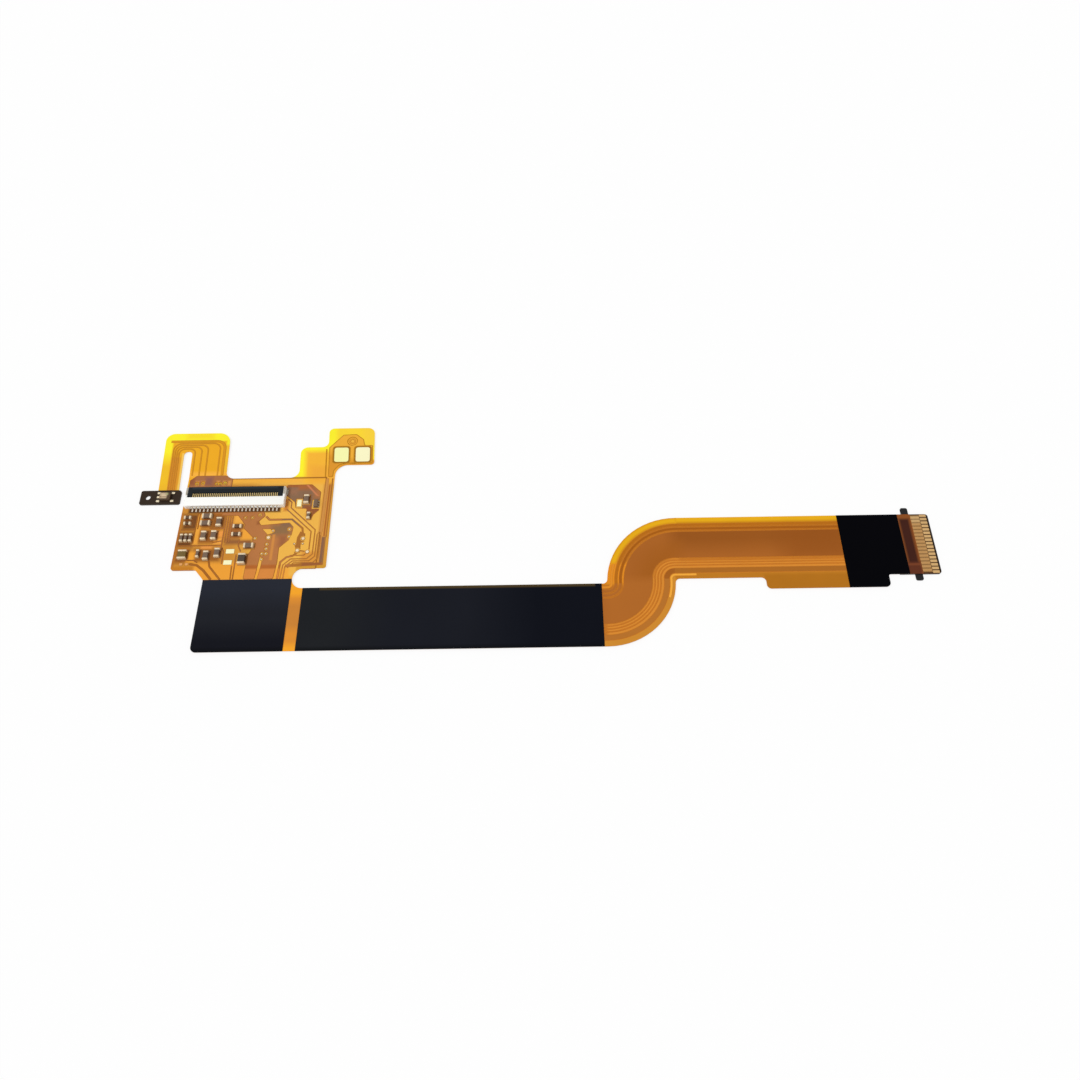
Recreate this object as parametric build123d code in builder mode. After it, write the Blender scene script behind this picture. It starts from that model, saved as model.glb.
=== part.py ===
import os
from math import radians, tan

from build123d import *

os.makedirs("parts", exist_ok=True)

# The frame: X runs along the cable and leaves through the contact tail, Y runs across it towards
# the loop, and Z points up. The origin is the middle of the tail's leading edge, at the underside.

# Thicknesses
stiffener_t = 0.2
film_t = 0.12
copper_t = 0.03
shield_t = 0.05
coverlay_t = 0.03

# Contact tail
contact_pitch = 0.3
tail_contacts = 33
tail_len = 4.75
tail_tip_r = 0.45
finger_edge = 0.3
tip_row_len = 1.0
rear_row_len = 1.45
finger_w = 0.42
finger_lead_w = 0.06
finger_gap = 0.08
tail_stiffener_len = 6.2
ear_start = 2.85
ear_len = 1.1
ear_reach = 1.2
ear_low_reach = 1.0
ear_r = 0.28

# Arm and its flag
arm_w = 10.4
arm_len = 39.1
flag_setback = 8.0
flag_len = 18.4
flag_drop = 1.85
flag_r = 0.7
flag_root_r = 0.35

# Round bends: the strip's top edge is level with the centre of the upper bend, and the arm's
# bottom edge with the centre of the lower one
upper_r = 11.05
lower_r = 10.6
bend_w = 10.25
inner_r = 0.7

# Strip
strip_len = 60.6
strip_r = 0.8
shield_long_len = 44.6
shield_gap = 1.77
strip_run = 0.85
shield_right_len = 9.4

# Component board, its neck and the round notch beside it
board_side_w = 7.48
board_side_in = 0.2
board_h = 16.15
board_overhang = 5.25
board_lift = 3.3
board_r = 0.4
notch_depth = 4.9
notch_flat = 0.08
neck_drop = 1.75
neck_slope_w = 1.5
board_stiffener_w = 21.9

# Loop and ground tab: both lean a little to the left
lean = tan(radians(3.4))
leg_w = 3.25
slot_w = 1.35
loop_reach = 5.9
loop_h = 8.85
slot_h = 5.3
slot_flat = 0.06
loop_left_r = 1.35
loop_right_r = 1.9
root_r = 1.4
tab_left_in = 5.7
tab_step_in = 1.2
tab_reach = 6.25
tab_shoulder_h = 5.8
tab_h = 9.45
tab_foot_h = 2.3
tab_r = 1.15
tab_inner_r = 1.0
tab_foot_r = 1.9
tab_step_r = 0.8
tab_foot_corner_r = 0.55

# Sensor tab
sensor_tab_w = 6.35
sensor_tab_h = 2.5
sensor_tab_gap = 0.75
sensor_tab_drop = 2.05
sensor_tab_r = 0.3
sensor_tab_round_r = 0.4
locating_r = 0.4
locating_in = 1.2

# Ground pads on the tab
ground_pad_w = 2.35
ground_pad_h = 2.8
ground_pad_gap = 1.1
ground_pad_edge = 0.7
ground_pad_lift = 0.55
ground_pad_r = 0.42
ground_via_r = 0.57
ground_via_hole_r = 0.28
ground_via_lift = 1.2

# Copper of the bends, as distances in from the upper and from the lower edge
guard_near = 0.44
guard_w = 0.38
guard_run = 3.2
guard_turn = 18
upper_band_near = 1.05
upper_band_w = 0.5
upper_bands = 2
upper_band_step = 0.66
wide_from_upper = 2.42
wide_from_lower = 3.4
lower_band_near = 0.86
lower_band_w = 0.9
fine_near = 2.1
fine_w = 0.2
fine_step = 0.44
fine_traces = 3

# Board connector, placed from the board's lower left corner
conn_in = 0.42
conn_up = 10.66
conn_contacts = 45
conn_end = 1.2
conn_h = 1.0
conn_front_depth = 1.5
conn_depth = 3.3
conn_floor_t = 0.3
conn_slot_h = 0.35
conn_slot_extra = 0.6
conn_wall_t = 0.3
conn_wall_h = 0.95
blade_t = 0.12
blade_h = 0.08
blade_slot_w = 0.18
beam_rise = 0.03
beam_h = 0.15
beam_start = 0.5
beam_tip = 2.2
riser_start = 1.75
riser_len = 0.2
tail_foot = 0.6
rear_foot = 0.3
foot_t = 0.1
foot_w = 0.22
foot_gap = 0.02
tip_rise = 0.09
actuator_gap = 0.05
actuator_r = 0.28
actuator_sides = 8
actuator_t = 0.45
actuator_end = 3.36
actuator_slot = 0.5
pivot_pin_r = 0.13
pivot_pin_len = 0.15
pivot_clearance = 0.04
nail_t = 0.1
nail_len = 0.9
nail_h = 0.5
nail_foot = 0.22
nail_end = 0.15

# Board copper
trace_w = 0.2
plane_r = 0.25
via_r = 0.19
via_sides = 12
keepout = 0.16
pad_margin = 0.08
terminal = 0.28
terminal_step = 0.02
ring_w = 0.14
via_gap = 0.1

# Sensor
sensor_w = 1.65
sensor_l = 1.3
sensor_h = 0.45
sensor_in = 4.02
terminal_w = 0.5
terminal_l = 0.34
terminal_pitch = 0.72
terminal_h = 0.12
terminal_gap = 0.03

# Small chip with leads
driver_w = 0.6
driver_l = 1.3
driver_h = 0.5
driver_lead = 0.2
driver_lead_w = 0.2
driver_lead_h = 0.12
driver_lead_pitch = 0.42
driver_leads = 3
driver_side = 2.6
driver_up = 11.15

# Worked-out levels
film_z = stiffener_t
top_z = film_z + film_t
seat_z = top_z + copper_t

# Worked-out edges
conn_w = (conn_contacts - 1) * contact_pitch + 2 * conn_end
board_w = conn_in + conn_w + board_side_w
tail_w = (tail_contacts + 1) * contact_pitch
arm_top = tail_w / 2
arm_bottom = arm_top - arm_w
flag_bottom = arm_bottom - flag_drop
flag_left = -flag_setback - flag_len
upper_centre = (-arm_len, arm_top - upper_r)
bend_left = -arm_len - upper_r
bend_right = bend_left + bend_w
lower_centre = (bend_right - lower_r, arm_bottom)
strip_top = arm_top - upper_r
strip_bottom = arm_bottom - lower_r
strip_left = bend_left - strip_len
board_left = strip_left - board_overhang
board_right = board_left + board_w
board_bottom = strip_top + board_lift
board_top = board_bottom + board_h
board_corner = board_right - board_side_in
neck_bottom = board_bottom - neck_drop
notch_left = board_right - notch_depth
shield_right_end = -tail_len - shield_right_len
shield_long_end = bend_left - strip_run
shield_long_start = shield_long_end - shield_long_len
shield_left_end = shield_long_start - shield_gap
sensor_tab_right = board_left - sensor_tab_gap
sensor_tab_left = sensor_tab_right - sensor_tab_w
sensor_tab_top = board_top - sensor_tab_drop
sensor_tab_bottom = sensor_tab_top - sensor_tab_h
locating_hole = (sensor_tab_left + locating_in, (sensor_tab_top + sensor_tab_bottom) / 2)


def block(x0, x1, y0, y1, mode=Mode.ADD):
    """Adds a rectangle to the open sketch by its edges."""
    with Locations(((x0 + x1) / 2, (y0 + y1) / 2)):
        Rectangle(x1 - x0, y1 - y0, mode=mode)


def polygon(points, mode=Mode.ADD):
    """Adds a straight-sided outline to the open sketch."""
    with BuildLine() as outline:
        Polyline(*points, close=True)
    make_face(outline.edges(), mode=mode)


def loop_point(x, y):
    """A point of the leaning loop, from the board's upper left corner."""
    return (board_left + x - lean * y, board_top + y)


def tab_point(x, y):
    """A point of the leaning ground tab, from the board's upper right corner."""
    return (board_corner + x - lean * y, board_top + y)


def on_board(x, y):
    """A point of the component board, from its lower left corner."""
    return (board_left + x, board_bottom + y)


def from_right(x, y):
    """Board coordinates of a point that is measured from the board's right edge."""
    return (board_w - x, y)


def save(name, part):
    """Labels a finished piece and writes it."""
    part.part.label = name
    export_step(part.part, f"parts/{name}.step")


# Film outline: straight regions, the two round bends, then every corner rounded
with BuildSketch() as film_outline:
    block(-tail_len, 0, -tail_w / 2, tail_w / 2)
    block(-flag_setback, -tail_len, -tail_w / 2, arm_top)
    block(-arm_len, -flag_setback, arm_bottom, arm_top)
    block(flag_left, -flag_setback, flag_bottom, arm_top)
    with BuildLine():
        CenterArc(upper_centre, upper_r, 90, 90)
        Line((bend_left, strip_top), (lower_centre[0], strip_top))
        Line((lower_centre[0], strip_top), (lower_centre[0], strip_bottom))
        CenterArc(lower_centre, lower_r, -90, 90)
        Line((bend_right, arm_bottom), (-arm_len, arm_bottom))
        Line((-arm_len, arm_bottom), (-arm_len, arm_top))
    make_face()
    block(strip_left, lower_centre[0], strip_bottom, strip_top)
    block(strip_left, notch_left, strip_top, board_bottom)
    polygon(
        [
            (strip_left, neck_bottom),
            (strip_left, board_bottom),
            (strip_left - neck_slope_w, board_bottom),
        ]
    )
    polygon(
        [
            (board_left, board_bottom),
            (board_right, board_bottom),
            (board_corner, board_top),
            (board_left, board_top),
        ]
    )
    polygon(
        [
            loop_point(-slot_w - leg_w, -sensor_tab_drop),
            loop_point(-slot_w - leg_w, loop_h),
            loop_point(loop_reach, loop_h),
            loop_point(loop_reach, -root_r),
            loop_point(0, -root_r),
            loop_point(0, slot_h),
            loop_point(-slot_w, slot_h),
            loop_point(-slot_w, -sensor_tab_drop),
        ]
    )
    block(sensor_tab_left, sensor_tab_right, sensor_tab_bottom, sensor_tab_top)
    polygon(
        [
            tab_point(-tab_left_in, -root_r),
            tab_point(-tab_left_in, tab_shoulder_h),
            tab_point(-tab_step_in, tab_shoulder_h),
            tab_point(-tab_step_in, tab_h),
            tab_point(tab_reach, tab_h),
            tab_point(tab_reach, tab_foot_h),
            (board_corner, board_top + tab_foot_h),
            (board_corner, board_top - root_r),
        ]
    )

corners = [
    ((0, tail_w / 2), tail_tip_r),
    ((0, -tail_w / 2), tail_tip_r),
    ((-flag_setback, -tail_w / 2), flag_root_r),
    ((-flag_setback, flag_bottom), flag_r),
    ((flag_left, flag_bottom), flag_r),
    ((flag_left, arm_bottom), flag_r),
    ((bend_right, arm_bottom), inner_r),
    ((bend_left, strip_top), inner_r),
    ((strip_left, strip_bottom), strip_r),
    ((notch_left, strip_top), (board_lift - notch_flat) / 2),
    ((notch_left, board_bottom), (board_lift - notch_flat) / 2),
    ((strip_left, neck_bottom), inner_r),
    ((strip_left - neck_slope_w, board_bottom), inner_r),
    ((board_left, board_bottom), board_r),
    ((board_right, board_bottom), board_r),
    (loop_point(-slot_w - leg_w, loop_h), loop_left_r),
    (loop_point(loop_reach, loop_h), loop_right_r),
    (loop_point(loop_reach, 0), root_r),
    (loop_point(0, slot_h), (slot_w - slot_flat) / 2),
    (loop_point(-slot_w, slot_h), (slot_w - slot_flat) / 2),
    ((sensor_tab_left, sensor_tab_top), sensor_tab_r),
    ((sensor_tab_left, sensor_tab_bottom), sensor_tab_r),
    ((sensor_tab_right, sensor_tab_bottom), sensor_tab_r),
    ((sensor_tab_right, sensor_tab_top), sensor_tab_round_r),
    (tab_point(-tab_left_in, 0), root_r),
    (tab_point(-tab_left_in, tab_shoulder_h), tab_r),
    (tab_point(-tab_step_in, tab_shoulder_h), tab_inner_r),
    (tab_point(-tab_step_in, tab_h), tab_step_r),
    (tab_point(tab_reach, tab_h), tab_r),
    (tab_point(tab_reach, tab_foot_h), tab_foot_corner_r),
    ((board_corner, board_top + tab_foot_h), tab_foot_r),
]
with BuildSketch() as film_shape:
    add(film_outline.sketch)
    for corner, radius in corners:
        fillet(film_shape.vertices().sort_by_distance(corner)[0], radius)
    with Locations(locating_hole):
        Circle(locating_r, mode=Mode.SUBTRACT)

with BuildPart() as flex_film:
    with BuildSketch(Plane.XY.offset(film_z)):
        add(film_shape.sketch)
    extrude(amount=film_t)
save("flex_film", flex_film)


# Stiffeners under the film
def under_film(x0, x1, y0, y1):
    """A plate of the film's own outline between four edges, below the film."""
    with BuildPart() as plate:
        with BuildSketch():
            add(film_shape.sketch)
            block(x0, x1, y0, y1, mode=Mode.INTERSECT)
        extrude(amount=stiffener_t)
    return plate


save(
    "board_stiffener",
    under_film(board_left, board_left + board_stiffener_w, board_bottom, board_top),
)
save(
    "sensor_stiffener",
    under_film(sensor_tab_left, sensor_tab_right, sensor_tab_bottom, sensor_tab_top),
)

with BuildPart() as tail_stiffener:
    with BuildSketch():
        add(film_shape.sketch)
        block(-tail_stiffener_len, 0, -tail_w / 2, tail_w / 2, mode=Mode.INTERSECT)
        for side, reach in ((1, ear_reach), (-1, ear_low_reach)):
            ear_middle = side * tail_w / 2
            with Locations((-ear_start - ear_len / 2, ear_middle)):
                RectangleRounded(ear_len, 2 * reach, ear_r)
    extrude(amount=stiffener_t)
save("tail_stiffener", tail_stiffener)


# Shielding films on top
def shield(x0, x1, y0, y1):
    """A skin of the film's own outline between four edges, on top of the film."""
    with BuildPart() as skin:
        with BuildSketch(Plane.XY.offset(top_z)):
            add(film_shape.sketch)
            block(x0, x1, y0, y1, mode=Mode.INTERSECT)
        extrude(amount=shield_t)
    return skin


save("shield_left", shield(strip_left, shield_left_end, strip_bottom, neck_bottom))
save("shield_long", shield(shield_long_start, shield_long_end, strip_bottom, strip_top))
save("shield_right", shield(shield_right_end, -tail_len, flag_bottom, arm_top))


# Copper of the two bends, seen through the coverlay between the shields
def upper_run(inset):
    """Follows the arm's top edge, the upper bend and the strip's top edge; returns its ends."""
    arm = Line((shield_right_end, arm_top - inset), (upper_centre[0], arm_top - inset))
    CenterArc(upper_centre, upper_r - inset, 90, 90)
    CenterArc((bend_left, strip_top), inset, 0, -90)
    strip = Line((bend_left, strip_top - inset), (shield_long_end, strip_top - inset))
    return arm @ 0, strip @ 1


def lower_run(inset):
    """Follows the arm's bottom edge, the lower bend and the strip's bottom edge; returns its ends."""
    arm = Line((shield_right_end, arm_bottom + inset), (bend_right, arm_bottom + inset))
    CenterArc((bend_right, arm_bottom), inset, 90, 90)
    CenterArc(lower_centre, lower_r - inset, 0, -90)
    strip = Line((lower_centre[0], strip_bottom + inset), (shield_long_end, strip_bottom + inset))
    return arm @ 0, strip @ 1


def upper_guard(inset):
    """The part of the upper run round its inner corner; returns its ends."""
    bend = CenterArc(upper_centre, upper_r - inset, 180 - guard_turn, guard_turn)
    CenterArc((bend_left, strip_top), inset, 0, -90)
    strip = Line((bend_left, strip_top - inset), (shield_long_end, strip_top - inset))
    return bend @ 0, strip @ 1


def lower_guard(inset):
    """The part of the lower run round its inner corner; returns its ends."""
    arm = Line((bend_right + guard_run, arm_bottom + inset), (bend_right, arm_bottom + inset))
    CenterArc((bend_right, arm_bottom), inset, 90, 90)
    bend = CenterArc(lower_centre, lower_r - inset, 0, -guard_turn)
    return arm @ 0, bend @ 1


def band(first_run, first_inset, second_run, second_inset):
    """Adds the band between two runs to the open sketch."""
    with BuildLine() as outline:
        first_ends = first_run(first_inset)
        second_ends = second_run(second_inset)
        Line(first_ends[0], second_ends[0])
        Line(first_ends[1], second_ends[1])
    make_face(outline.edges())


with BuildPart() as bend_copper:
    with BuildSketch(Plane.XY.offset(top_z)):
        band(upper_run, wide_from_upper, lower_run, wide_from_lower)
        for index in range(upper_bands):
            near = upper_band_near + index * upper_band_step
            band(upper_run, near, upper_run, near + upper_band_w)
        band(lower_run, lower_band_near, lower_run, lower_band_near + lower_band_w)
    extrude(amount=copper_t)
save("bend_copper", bend_copper)

with BuildPart() as bend_fine_traces:
    with BuildSketch(Plane.XY.offset(top_z)):
        for index in range(fine_traces):
            near = fine_near + index * fine_step
            band(lower_run, near, lower_run, near + fine_w)
    extrude(amount=copper_t)
save("bend_fine_traces", bend_fine_traces)

# Copper strips that stop a tear at the two inner corners
with BuildPart() as tear_guards:
    with BuildSketch(Plane.XY.offset(top_z)):
        band(upper_guard, guard_near, upper_guard, guard_near + guard_w)
        band(lower_guard, guard_near, lower_guard, guard_near + guard_w)
    extrude(amount=copper_t)
save("tear_guards", tear_guards)

# Contact tail: the end of the coverlay and two staggered rows of gold contacts
tip_row = (tail_contacts + 1) // 2
rear_row = tail_contacts // 2
row_pitch = 2 * contact_pitch
tip_row_start = -finger_edge - tip_row_len
rear_row_start = tip_row_start - rear_row_len

with BuildPart() as tail_coverlay:
    with BuildSketch(Plane.XY.offset(top_z)):
        add(film_shape.sketch)
        block(-tail_len, rear_row_start, -tail_w / 2, tail_w / 2, mode=Mode.INTERSECT)
    extrude(amount=coverlay_t)
save("tail_coverlay", tail_coverlay)

with BuildPart() as tail_fingers:
    with BuildSketch(Plane.XY.offset(top_z)):
        with Locations((tip_row_start + tip_row_len / 2, 0)):
            with GridLocations(contact_pitch, row_pitch, 1, tip_row):
                Rectangle(tip_row_len, finger_w)
        with Locations((tip_row_start - rear_row_len / 2, 0)):
            with GridLocations(contact_pitch, row_pitch, 1, tip_row):
                Rectangle(rear_row_len, finger_lead_w)
        with Locations((tip_row_start - (rear_row_len + finger_gap) / 2, 0)):
            with GridLocations(contact_pitch, row_pitch, 1, rear_row):
                Rectangle(rear_row_len - finger_gap, finger_w)
    extrude(amount=copper_t)
save("tail_fingers", tail_fingers)


# Ground tab: two bare gold pads, a plated hole and the copper plane around them
def rounded(points, radius, mode=Mode.ADD):
    """Adds an outline with every corner rounded to the open sketch."""
    with BuildLine() as outline:
        FilletPolyline(*points, radius=radius, close=True)
    make_face(outline.edges(), mode=mode)


pad_bottom = tab_foot_h + ground_pad_lift
pad_top = pad_bottom + ground_pad_h
right_pad_x = tab_reach - ground_pad_edge - ground_pad_w
left_pad_x = right_pad_x - ground_pad_gap - ground_pad_w
ground_via = tab_point(right_pad_x - ground_pad_gap / 2, pad_top + ground_via_lift)


def ground_pad(x, margin=0):
    """Corners of a leaning gold pad, or of the opening around it."""
    return [
        tab_point(x - margin, pad_bottom - margin),
        tab_point(x + ground_pad_w + margin, pad_bottom - margin),
        tab_point(x + ground_pad_w + margin, pad_top + margin),
        tab_point(x - margin, pad_top + margin),
    ]


for name, x in (("ground_pad_left", left_pad_x), ("ground_pad_right", right_pad_x)):
    with BuildPart() as pad:
        with BuildSketch(Plane.XY.offset(top_z)):
            rounded(ground_pad(x), ground_pad_r)
        extrude(amount=copper_t)
    save(name, pad)

with BuildPart() as via_ring:
    with BuildSketch(Plane.XY.offset(top_z)):
        with Locations(ground_via):
            Circle(ground_via_r)
            Circle(ground_via_hole_r, mode=Mode.SUBTRACT)
    extrude(amount=copper_t)
save("ground_via", via_ring)

tab_plane = [
    (-1.1, 0.0),
    (-1.1, 5.7),
    (1.15, 8.15),
    (3.3, 8.25),
    (4.5, 7.2),
    (4.7, 6.05),
    (6.0, 6.05),
    (6.0, 2.5),
    (1.9, 2.5),
    (0.7, 2.3),
    (-0.15, 1.2),
    (-0.3, 0.0),
]
with BuildPart() as tab_copper:
    with BuildSketch(Plane.XY.offset(top_z)):
        rounded([tab_point(*point) for point in tab_plane], plane_r)
        with BuildLine() as side_trace:
            Polyline(tab_point(-1.5, 0), tab_point(-1.5, 5.4))
        trace(side_trace.edges(), line_width=trace_w)
        for x in (left_pad_x, right_pad_x):
            rounded(ground_pad(x, keepout), ground_pad_r, mode=Mode.SUBTRACT)
        with Locations(ground_via):
            Circle(ground_via_r + keepout, mode=Mode.SUBTRACT)
        add(film_shape.sketch, mode=Mode.INTERSECT)
    extrude(amount=copper_t)
save("tab_copper", tab_copper)

# Loop copper: the traces run up the leg, round the slot and down to the board
loop_outer_left = -3.7
loop_lefts = [-3.15, -2.82, -2.5, -2.18]
loop_tops = [7.28, 6.85, 6.5, 6.15, 5.8]
loop_rights = [5.2, 4.45, 2.5, 1.5, 0.42]
loop_turns = [1.5, 1.2, 1.1, 1.0, 0.9]
loop_widths = [0.46, 0.24, 0.24, 0.24, 0.24]
loop_foot = 0.65
loop_start = -2.0


def loop_route(index):
    """Corners of one of the loop's traces. The outer one has no leg."""
    top, right = loop_tops[index], loop_rights[index]
    if index == 0:
        start = [(loop_outer_left, top)]
    else:
        left = loop_lefts[index - 1]
        start = [(left, loop_start), (left, top)]
    return [loop_point(*point) for point in [*start, (right, top), (right, loop_foot)]]


with BuildPart() as loop_copper:
    with BuildSketch(Plane.XY.offset(top_z)):
        for index, (radius, width) in enumerate(zip(loop_turns, loop_widths)):
            with BuildLine() as loop_trace:
                FilletPolyline(*loop_route(index), radius=radius)
            trace(loop_trace.edges(), line_width=width)
    extrude(amount=copper_t)
save("loop_copper", loop_copper)

# Chip parts: name, size and whether it is turned to run across the cable, then its place
small_chip = (1.1, 0.5, 0.35)
narrow_chip = (1.3, 0.45, 0.4)
medium_chip = (1.5, 0.8, 0.45)
flat_chip = (1.35, 0.6, 0.35)
square_chip = (1.5, 1.3, 0.5)
coil_chip = (1.7, 1.1, 0.6)
chip_kinds = [
    ("resistor_1", small_chip, False),
    ("resistor_2", small_chip, False),
    ("capacitor_1", narrow_chip, True),
    ("capacitor_2", narrow_chip, True),
    ("capacitor_3", narrow_chip, True),
    ("diode_1", square_chip, True),
    ("capacitor_4", medium_chip, False),
    ("capacitor_5", medium_chip, False),
    ("capacitor_6", medium_chip, True),
    ("capacitor_7", medium_chip, True),
    ("capacitor_8", medium_chip, True),
    ("capacitor_9", narrow_chip, True),
    ("capacitor_10", medium_chip, True),
    ("capacitor_11", medium_chip, True),
    ("resistor_3", flat_chip, False),
    ("resistor_4", flat_chip, False),
    ("capacitor_12", medium_chip, False),
    ("coil_1", coil_chip, True),
    ("capacitor_13", medium_chip, True),
    ("capacitor_14", small_chip, True),
]
chip_places = [
    (1.15, 9.0),
    (1.25, 7.95),
    (0.8, 5.4),
    (1.47, 5.4),
    (2.15, 5.4),
    (1.45, 2.5),
    (4.15, 9.2),
    (4.05, 7.95),
    (6.15, 8.15),
    (4.15, 5.75),
    (5.7, 5.8),
    (3.75, 2.65),
    (5.05, 2.3),
    (6.7, 2.75),
    (9.1, 7.35),
    (9.1, 5.95),
    (11.35, 3.9),
    (10.65, 1.6),
    from_right(4.2, 12.0),
    from_right(3.6, 9.1),
]
chips = [
    (name, size, place, turned)
    for (name, size, turned), place in zip(chip_kinds, chip_places)
]


def chip_plane(place, turned, level):
    """A plane at a chip's middle, with its X along the chip."""
    direction = (0, 1, 0) if turned else (1, 0, 0)
    return Plane(origin=(*on_board(*place), level), x_dir=direction, z_dir=(0, 0, 1))


on_seat = (Align.CENTER, Align.CENTER, Align.MIN)
for name, (length, width, height), place, turned in chips:
    with BuildPart(chip_plane(place, turned, seat_z)) as chip:
        Box(length, width - 2 * terminal_step, height - terminal_step, align=on_seat)
        with GridLocations(length - terminal, 1, 2, 1):
            Box(terminal, width, height, align=on_seat)
    save(name, chip)

# The small chip with leads beside the connector
driver_place = on_board(*from_right(driver_side, driver_up))
with BuildPart(Plane(origin=(*driver_place, seat_z))) as level_driver:
    Box(driver_w, driver_l, driver_h, align=on_seat)
    with GridLocations(driver_w + driver_lead, driver_lead_pitch, 2, driver_leads):
        Box(driver_lead, driver_lead_w, driver_lead_h, align=on_seat)
save("level_driver", level_driver)

# Spare gold pads, and the solder under each chip's ends
spare_pad_size = (1.3, 0.8)
small_pad_size = (0.5, 0.45)
tall_pad_size = (0.73, 1.25)
spare_pad_places = [(8.6, 3.05), (8.5, 1.15)]
small_pad_places = [(1.45, 0.95), (2.3, 0.95)]
tall_pad_place = (5.3, 11.4)
spare_pads_at = [on_board(*place) for place in spare_pad_places]
small_pads_at = [on_board(*place) for place in small_pad_places]
tall_pad_at = on_board(*from_right(*tall_pad_place))
with BuildPart() as spare_pads:
    with BuildSketch(Plane.XY.offset(top_z)):
        with Locations(*spare_pads_at):
            Rectangle(*spare_pad_size)
        with Locations(*small_pads_at):
            Rectangle(*small_pad_size)
        with Locations(tall_pad_at):
            Rectangle(*tall_pad_size)
    extrude(amount=copper_t)
save("spare_pads", spare_pads)

with BuildPart() as solder_pads:
    for name, (length, width, height), place, turned in chips:
        with BuildSketch(chip_plane(place, turned, top_z)):
            with GridLocations(length - terminal + pad_margin, 1, 2, 1):
                Rectangle(terminal + pad_margin, width + pad_margin)
    extrude(amount=copper_t)
    with BuildSketch(Plane(origin=(*driver_place, top_z))):
        Rectangle(driver_w + 2 * driver_lead, driver_l)
    extrude(amount=copper_t)
save("solder_pads", solder_pads)

# Plated holes of the board
small_vias = [
    (14.7, 6.5),
    (17.2, 6.75),
    (17.3, 5.45),
    (12.1, 5.25),
    (14.05, 4.2),
    (14.05, 3.4),
    (13.5, 2.55),
    (14.1, 2.55),
    (13.55, 1.6),
    (18.25, 4.2),
    (19.55, 4.2),
    (10.1, 8.9),
    (11.2, 8.9),
    (12.3, 9.4),
    (1.45, 15.3),
    (2.4, 15.4),
    (4.6, 15.2),
    (5.15, 15.2),
    (5.95, 15.3),
]
ring_vias = [(14.15, 5.35), (19.5, 5.1), (18.85, 3.05), (20.4, 2.8)]
with BuildPart() as board_vias:
    with BuildSketch(Plane.XY.offset(top_z)):
        with Locations(*[on_board(*place) for place in small_vias]):
            RegularPolygon(via_r, via_sides)
        with Locations(*[on_board(*place) for place in ring_vias]):
            RegularPolygon(via_r + ring_w, via_sides)
    extrude(amount=copper_t)
save("board_vias", board_vias)

# Board copper: two planes, the patch behind the connector and the traces between them
middle_plane = [
    (5.0, 9.95),
    (12.9, 9.95),
    (13.2, 9.2),
    (12.3, 8.2),
    (12.7, 7.55),
    (17.1, 7.95),
    (17.8, 7.15),
    (17.7, 6.0),
    (17.3, 4.8),
    (16.0, 3.55),
    (16.05, 1.0),
    (15.75, -1.7),
    (11.2, -1.7),
    (11.35, 2.35),
    (11.75, 3.2),
    (11.7, 5.4),
    (10.1, 7.05),
    (10.2, 7.65),
    (8.9, 9.3),
    (5.0, 9.3),
]
plane_light = [(13.05, 6.85), (14.3, 6.85), (14.7, 6.15), (13.95, 5.85)]
plane_slot = [
    (13.3, 2.2),
    (13.65, 1.2),
    (13.5, -0.5),
    (13.3, -1.7),
    (12.95, -1.7),
    (13.1, -0.4),
    (13.2, 1.0),
]
relay_patch = [
    (18.55, 5.3),
    (18.95, 6.35),
    (19.75, 5.95),
    (19.75, 4.6),
    (19.25, 4.0),
    (19.25, 2.6),
    (18.45, 2.4),
    (18.5, 3.9),
]
corner_plane = [
    from_right(7.6, 14.8),
    from_right(3.65, 14.85),
    from_right(2.08, 13.4),
    from_right(2.08, 10.05),
    from_right(2.85, 9.3),
    from_right(3.2, 8.3),
    from_right(4.0, 8.3),
    from_right(4.05, 10.35),
    from_right(5.8, 10.5),
    from_right(6.05, 11.6),
    from_right(7.6, 12.9),
]
rear_patch = [(0.25, 14.4), (7.1, 14.4), (7.1, 16.2), (5.8, 16.75), (1.2, 16.75), (0.25, 15.9)]
board_traces = [
    [(16.4, 12.2), (17.0, 11.6), (17.0, 10.6), (21.2, 6.6), (21.2, 2.4), (20.4, 1.6), (18.0, 1.6)],
    [(18.0, 1.6), (16.95, 0.6), (16.75, -1.7)],
    [(16.4, 10.3), (20.6, 6.3), (20.6, 3.0), (19.9, 2.2), (17.8, 2.2)],
    [(20.4, 2.8), (18.85, 3.05), (18.25, 4.2)],
    [from_right(1.55, 6.4), from_right(1.9, 5.8), from_right(1.9, 2.0), from_right(2.7, 1.25)],
    [from_right(2.7, 1.25), (18.3, 1.25), (17.3, 0.35), (17.2, -1.7)],
    [from_right(1.35, 6.4), from_right(1.4, 1.7), from_right(2.1, 0.92), (18.5, 0.92), (17.65, 0.1)],
    [from_right(0.5, 15.9), from_right(0.5, 5.3)],
    [(2.6, 9.9), (2.6, 4.5)],
    [(2.95, 9.9), (2.95, 7.0)],
    [(7.1, 9.2), (7.1, 3.9), (7.6, 3.0), (7.6, 0.9)],
    [(7.45, 9.2), (7.45, 4.6)],
    [(7.8, 9.2), (7.8, 4.6)],
    [(8.15, 9.2), (8.15, 4.6)],
    [(0.4, 4.1), (7.1, 4.1)],
    [(9.2, 0.6), (9.3, -1.7)],
    [(9.6, 2.5), (9.65, -1.7)],
    [(0.4, 1.6), (3.3, 1.6), (3.9, 1.2)],
    [(0.4, 6.9), (2.6, 6.9)],
    [(4.8, 7.1), (7.1, 7.1)],
    [(5.6, 4.6), (7.1, 4.9)],
    [(9.7, 5.1), (9.7, 4.0), (10.2, 3.0)],
]
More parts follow.
